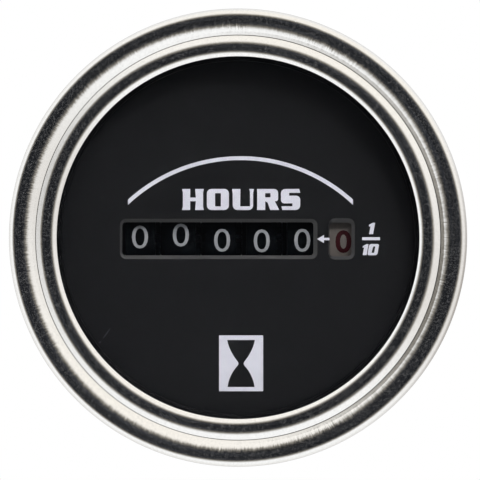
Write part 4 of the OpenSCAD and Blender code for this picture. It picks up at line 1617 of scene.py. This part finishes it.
# Studio


@dataclass(frozen=True)
class Lamp:
    """One area lamp: its direction from the face's middle, its distance, size and power."""

    name: str
    turn_deg: float
    lean_deg: float
    far_m: float
    wide_m: float
    watt: float

    def build(self) -> None:
        """Places the lamp so that it looks at the gauge's face."""
        data = bpy.data.lights.new(self.name, "AREA")
        data.shape = "DISK"
        data.size = self.wide_m
        data.energy = self.watt
        lamp = bpy.data.objects.new(self.name, data)
        bpy.context.scene.collection.objects.link(lamp)
        turn, lean = math.radians(self.turn_deg), math.radians(self.lean_deg)
        way = Vector((math.sin(lean) * math.cos(turn), -math.cos(lean), math.sin(lean) * math.sin(turn)))
        lamp.location = way * self.far_m
        lamp.rotation_euler = way.to_track_quat("Z", "Y").to_euler()
        lamp.visible_glossy = False


@dataclass(frozen=True)
class Surround:
    """White tent round a dark opening toward the camera, as the chrome's reflections show it.

    reach_deg is how far the dark reaches from the camera's direction. It changes round the face by
    waves, one for once round, twice and three times: each has its degrees and its turn.
    """

    dark: str = "#0f1012"
    dark_patch: str = "#303237"
    tent_edge: str = "#8a857c"
    pale: str = "#ffffff"
    pale_behind: str = "#f1f0ee"
    shade: str = "#e8e5e1"
    shade_behind: str = "#b0aaa5"
    shade_turn: float = 346.0
    shade_narrow: float = 8.0
    warm: str = "#fdf8f0"
    warm_turn: float = 62.0
    warm_narrow: float = 1.0
    behind_deg: float = 72.0
    far: str = "#8d8a87"
    far_deg: float = 136.0
    cloud_scale: float = 3.0
    cloud_span: Point = (0.38, 0.68)
    ambient: str = "#b4b4b6"
    reach_deg: float = 42.0
    soft_deg: float = 16.0
    waves: tuple[Point, ...] = ((8.78, 181.0), (3.66, -10.2), (1.8, 59.9))

    def build(self) -> None:
        """Builds the world: open white for straight rays, the tent for mirrors, grey for the rest."""
        world = bpy.data.worlds.new("white_tent")
        bpy.context.scene.world = world
        world.use_nodes = True
        tree = world.node_tree
        way = add_node(tree, Kind.COORDINATES, {}, "Generated")
        mirrored = self.tent(tree, add_node(tree, Kind.VECTOR, {"operation": "NORMALIZE", 0: way}))
        ray = add_node(tree, Kind.RAY, {}).node.outputs
        spread = add_node(tree, Kind.MATH, {"operation": "GREATER_THAN", 0: ray["Diffuse Depth"], 1: 0.5})
        shiny = add_node(tree, Kind.MATH, {"operation": "GREATER_THAN", 0: ray["Glossy Depth"], 1: 0.5})
        bounced = add_node(tree, Kind.MATH, {"operation": "MAXIMUM", 0: spread, 1: shiny})
        direct = add_node(tree, Kind.MATH, {"operation": "SUBTRACT", 0: 1.0, 1: bounced})
        straight = add_node(
            tree, Kind.MATH, {"operation": "MULTIPLY", 0: ray["Is Transmission Ray"], 1: direct}
        )
        open_ray = add_node(tree, Kind.MATH, {"operation": "MAXIMUM", 0: ray["Is Camera Ray"], 1: straight})
        seen = layered(tree, mirrored, (spread, linear(self.ambient)), (open_ray, linear(self.pale)))
        tree.links.new(seen, tree.nodes["Background"].inputs["Color"])

    def tent(self, tree: Tree, unit: Socket) -> Socket:
        """Works out what a mirror sees of the tent.

        Args:
            tree: The world's node tree.
            unit: Unit direction of the ray.

        Returns:
            The tent's colour.
        """
        facing = add_node(tree, Kind.VECTOR, {"operation": "DOT_PRODUCT", 0: unit, 1: (0, -1, 0)}, "Value")
        away = add_node(tree, Kind.MATH, {"operation": "ARCCOSINE", 0: facing})
        flat = add_node(tree, Kind.VECTOR, {"operation": "MULTIPLY", 0: unit, 1: (1, 0, 1)})
        around = add_node(tree, Kind.VECTOR, {"operation": "NORMALIZE", 0: flat})
        over = add_node(tree, Kind.MATH, {"operation": "SUBTRACT", 0: away, 1: self.reach(tree, around)})
        soft = math.radians(self.soft_deg)
        share = add_node(
            tree, Kind.RANGE,
            {"Value": over, "interpolation_type": "SMOOTHSTEP", "From Min": -soft, "From Max": soft},
        )
        cloud = add_node(
            tree, Kind.NOISE,
            {"Vector": unit, "Scale": self.cloud_scale, "Detail": 3.0, "Roughness": 0.65}, "Fac",
        )
        spans = (
            (cloud, *self.cloud_span),
            (away, math.radians(self.behind_deg), math.radians(self.behind_deg + 2 * self.soft_deg)),
            (away, math.radians(self.far_deg), math.radians(self.far_deg + 2 * self.soft_deg)),
            (share, 0.0, 0.5),
            (share, 0.5, 1.0),
        )
        patch, behind, far, first, second = (
            add_node(tree, Kind.RANGE, {"Value": value, "From Min": low, "From Max": high})
            for value, low, high in spans
        )
        warm = self.lobe(tree, around, self.warm_turn, self.warm_narrow)
        shaded = self.lobe(tree, around, self.shade_turn, self.shade_narrow)
        front = layered(tree, linear(self.pale), (warm, linear(self.warm)), (shaded, linear(self.shade)))
        back = layered(tree, linear(self.pale_behind), (shaded, linear(self.shade_behind)))
        back = layered(tree, back, (far, linear(self.far)))
        dark = layered(tree, linear(self.dark), (patch, linear(self.dark_patch)))
        pale = layered(tree, front, (behind, back))
        return layered(tree, dark, (first, linear(self.tent_edge)), (second, pale))

    def reach(self, tree: Tree, around: Socket) -> Socket:
        """Works out how far the dark opening reaches in each direction round the face.

        Args:
            tree: The world's node tree.
            around: Unit direction round the face.

        Returns:
            The angle in radians.
        """
        sides = add_node(tree, Kind.SPLIT, {"Vector": around}).node.outputs
        turn = add_node(tree, Kind.MATH, {"operation": "ARCTAN2", 0: sides["Z"], 1: sides["X"]})
        reach: Socket | float = math.radians(self.reach_deg)
        for count, wave in enumerate(self.waves, start=1):
            gain, start = (math.radians(v) for v in wave)
            phase = add_node(tree, Kind.MATH, {"operation": "MULTIPLY_ADD", 0: turn, 1: count, 2: -start})
            swing = add_node(tree, Kind.MATH, {"operation": "COSINE", 0: phase})
            reach = add_node(tree, Kind.MATH, {"operation": "MULTIPLY_ADD", 0: swing, 1: gain, 2: reach})
        return reach

    def lobe(self, tree: Tree, around: Socket, turn: float, narrow: float) -> Socket:
        """Adds a value that is one in a direction round the face, and falls off to both sides.

        Args:
            tree: The world's node tree.
            around: Unit direction round the face.
            turn: Direction of the highest value, in degrees.
            narrow: How fast it falls off.

        Returns:
            The value.
        """
        top = (math.cos(math.radians(turn)), 0, math.sin(math.radians(turn)))
        along = add_node(tree, Kind.VECTOR, {"operation": "DOT_PRODUCT", 0: around, 1: top}, "Value")
        along = add_node(tree, Kind.MATH, {"operation": "MAXIMUM", 0: along, 1: 0.0})
        return add_node(tree, Kind.MATH, {"operation": "POWER", 0: along, 1: narrow})


@dataclass(frozen=True)
class Studio:
    """Camera, floor, lamps and surround of the photograph."""

    lamps: tuple[Lamp, ...] = (
        Lamp("key_lamp", 66.0, 34.0, 1.2, 0.14, 4.0),
        Lamp("fill_lamp", 150.0, 50.0, 1.6, 0.6, 2.0),
    )
    surround: Surround = Surround()
    floor_z_m: float = -0.16
    floor_half_m: float = 0.8
    clip_m: Point = (0.05, 10.0)

    def build(self) -> None:
        """Builds the studio."""
        self.surround.build()
        for lamp in self.lamps:
            lamp.build()
        self.camera()
        self.floor()
        bpy.context.scene.view_settings.view_transform = "Standard"

    def camera(self) -> None:
        """Places the camera so that the bezel stands in the frame as in the photograph."""
        data = bpy.data.cameras.new("camera")
        camera = bpy.data.objects.new("camera", data)
        bpy.context.scene.collection.objects.link(camera)
        place = VIEW.camera_place()
        middle = Vector((*VIEW.through(VIEW.frame_px / 2, VIEW.frame_px / 2, VIEW.circle_h), VIEW.circle_h))
        data.sensor_width = VIEW.sensor
        data.lens = VIEW.px_per_mm * (place - middle).length * VIEW.sensor / VIEW.frame_px
        data.clip_start, data.clip_end = self.clip_m
        camera.location = FACE @ place
        camera.rotation_euler = (FACE @ place - FACE @ middle).to_track_quat("Z", "Y").to_euler()
        bpy.context.scene.camera = camera

    def floor(self) -> None:
        """Lays a pale floor well below the gauge."""
        bm = bmesh.new()
        level = Matrix.Translation((0, 0, self.floor_z_m))
        bmesh.ops.create_grid(bm, x_segments=1, y_segments=1, size=self.floor_half_m, matrix=level)
        mesh = bpy.data.meshes.new("studio_floor")
        bm.to_mesh(mesh)
        bm.free()
        mesh.materials.append(STUDIO_FLOOR.build())
        floor = bpy.data.objects.new("studio_floor", mesh)
        bpy.context.scene.collection.objects.link(floor)
        floor.visible_glossy = False


def main() -> None:
    """Builds every sub-assembly and the studio."""
    logging.basicConfig(level=logging.INFO, format="%(name)s: %(message)s")
    for assembly in (Bezel(), GlassStack(), Dial(), Counter(), Movement(), CaseBody(), RearClamp(), Studio()):
        LOG.info("building %s", type(assembly).__name__)
        assembly.build()


if __name__ == "__main__":
    main()
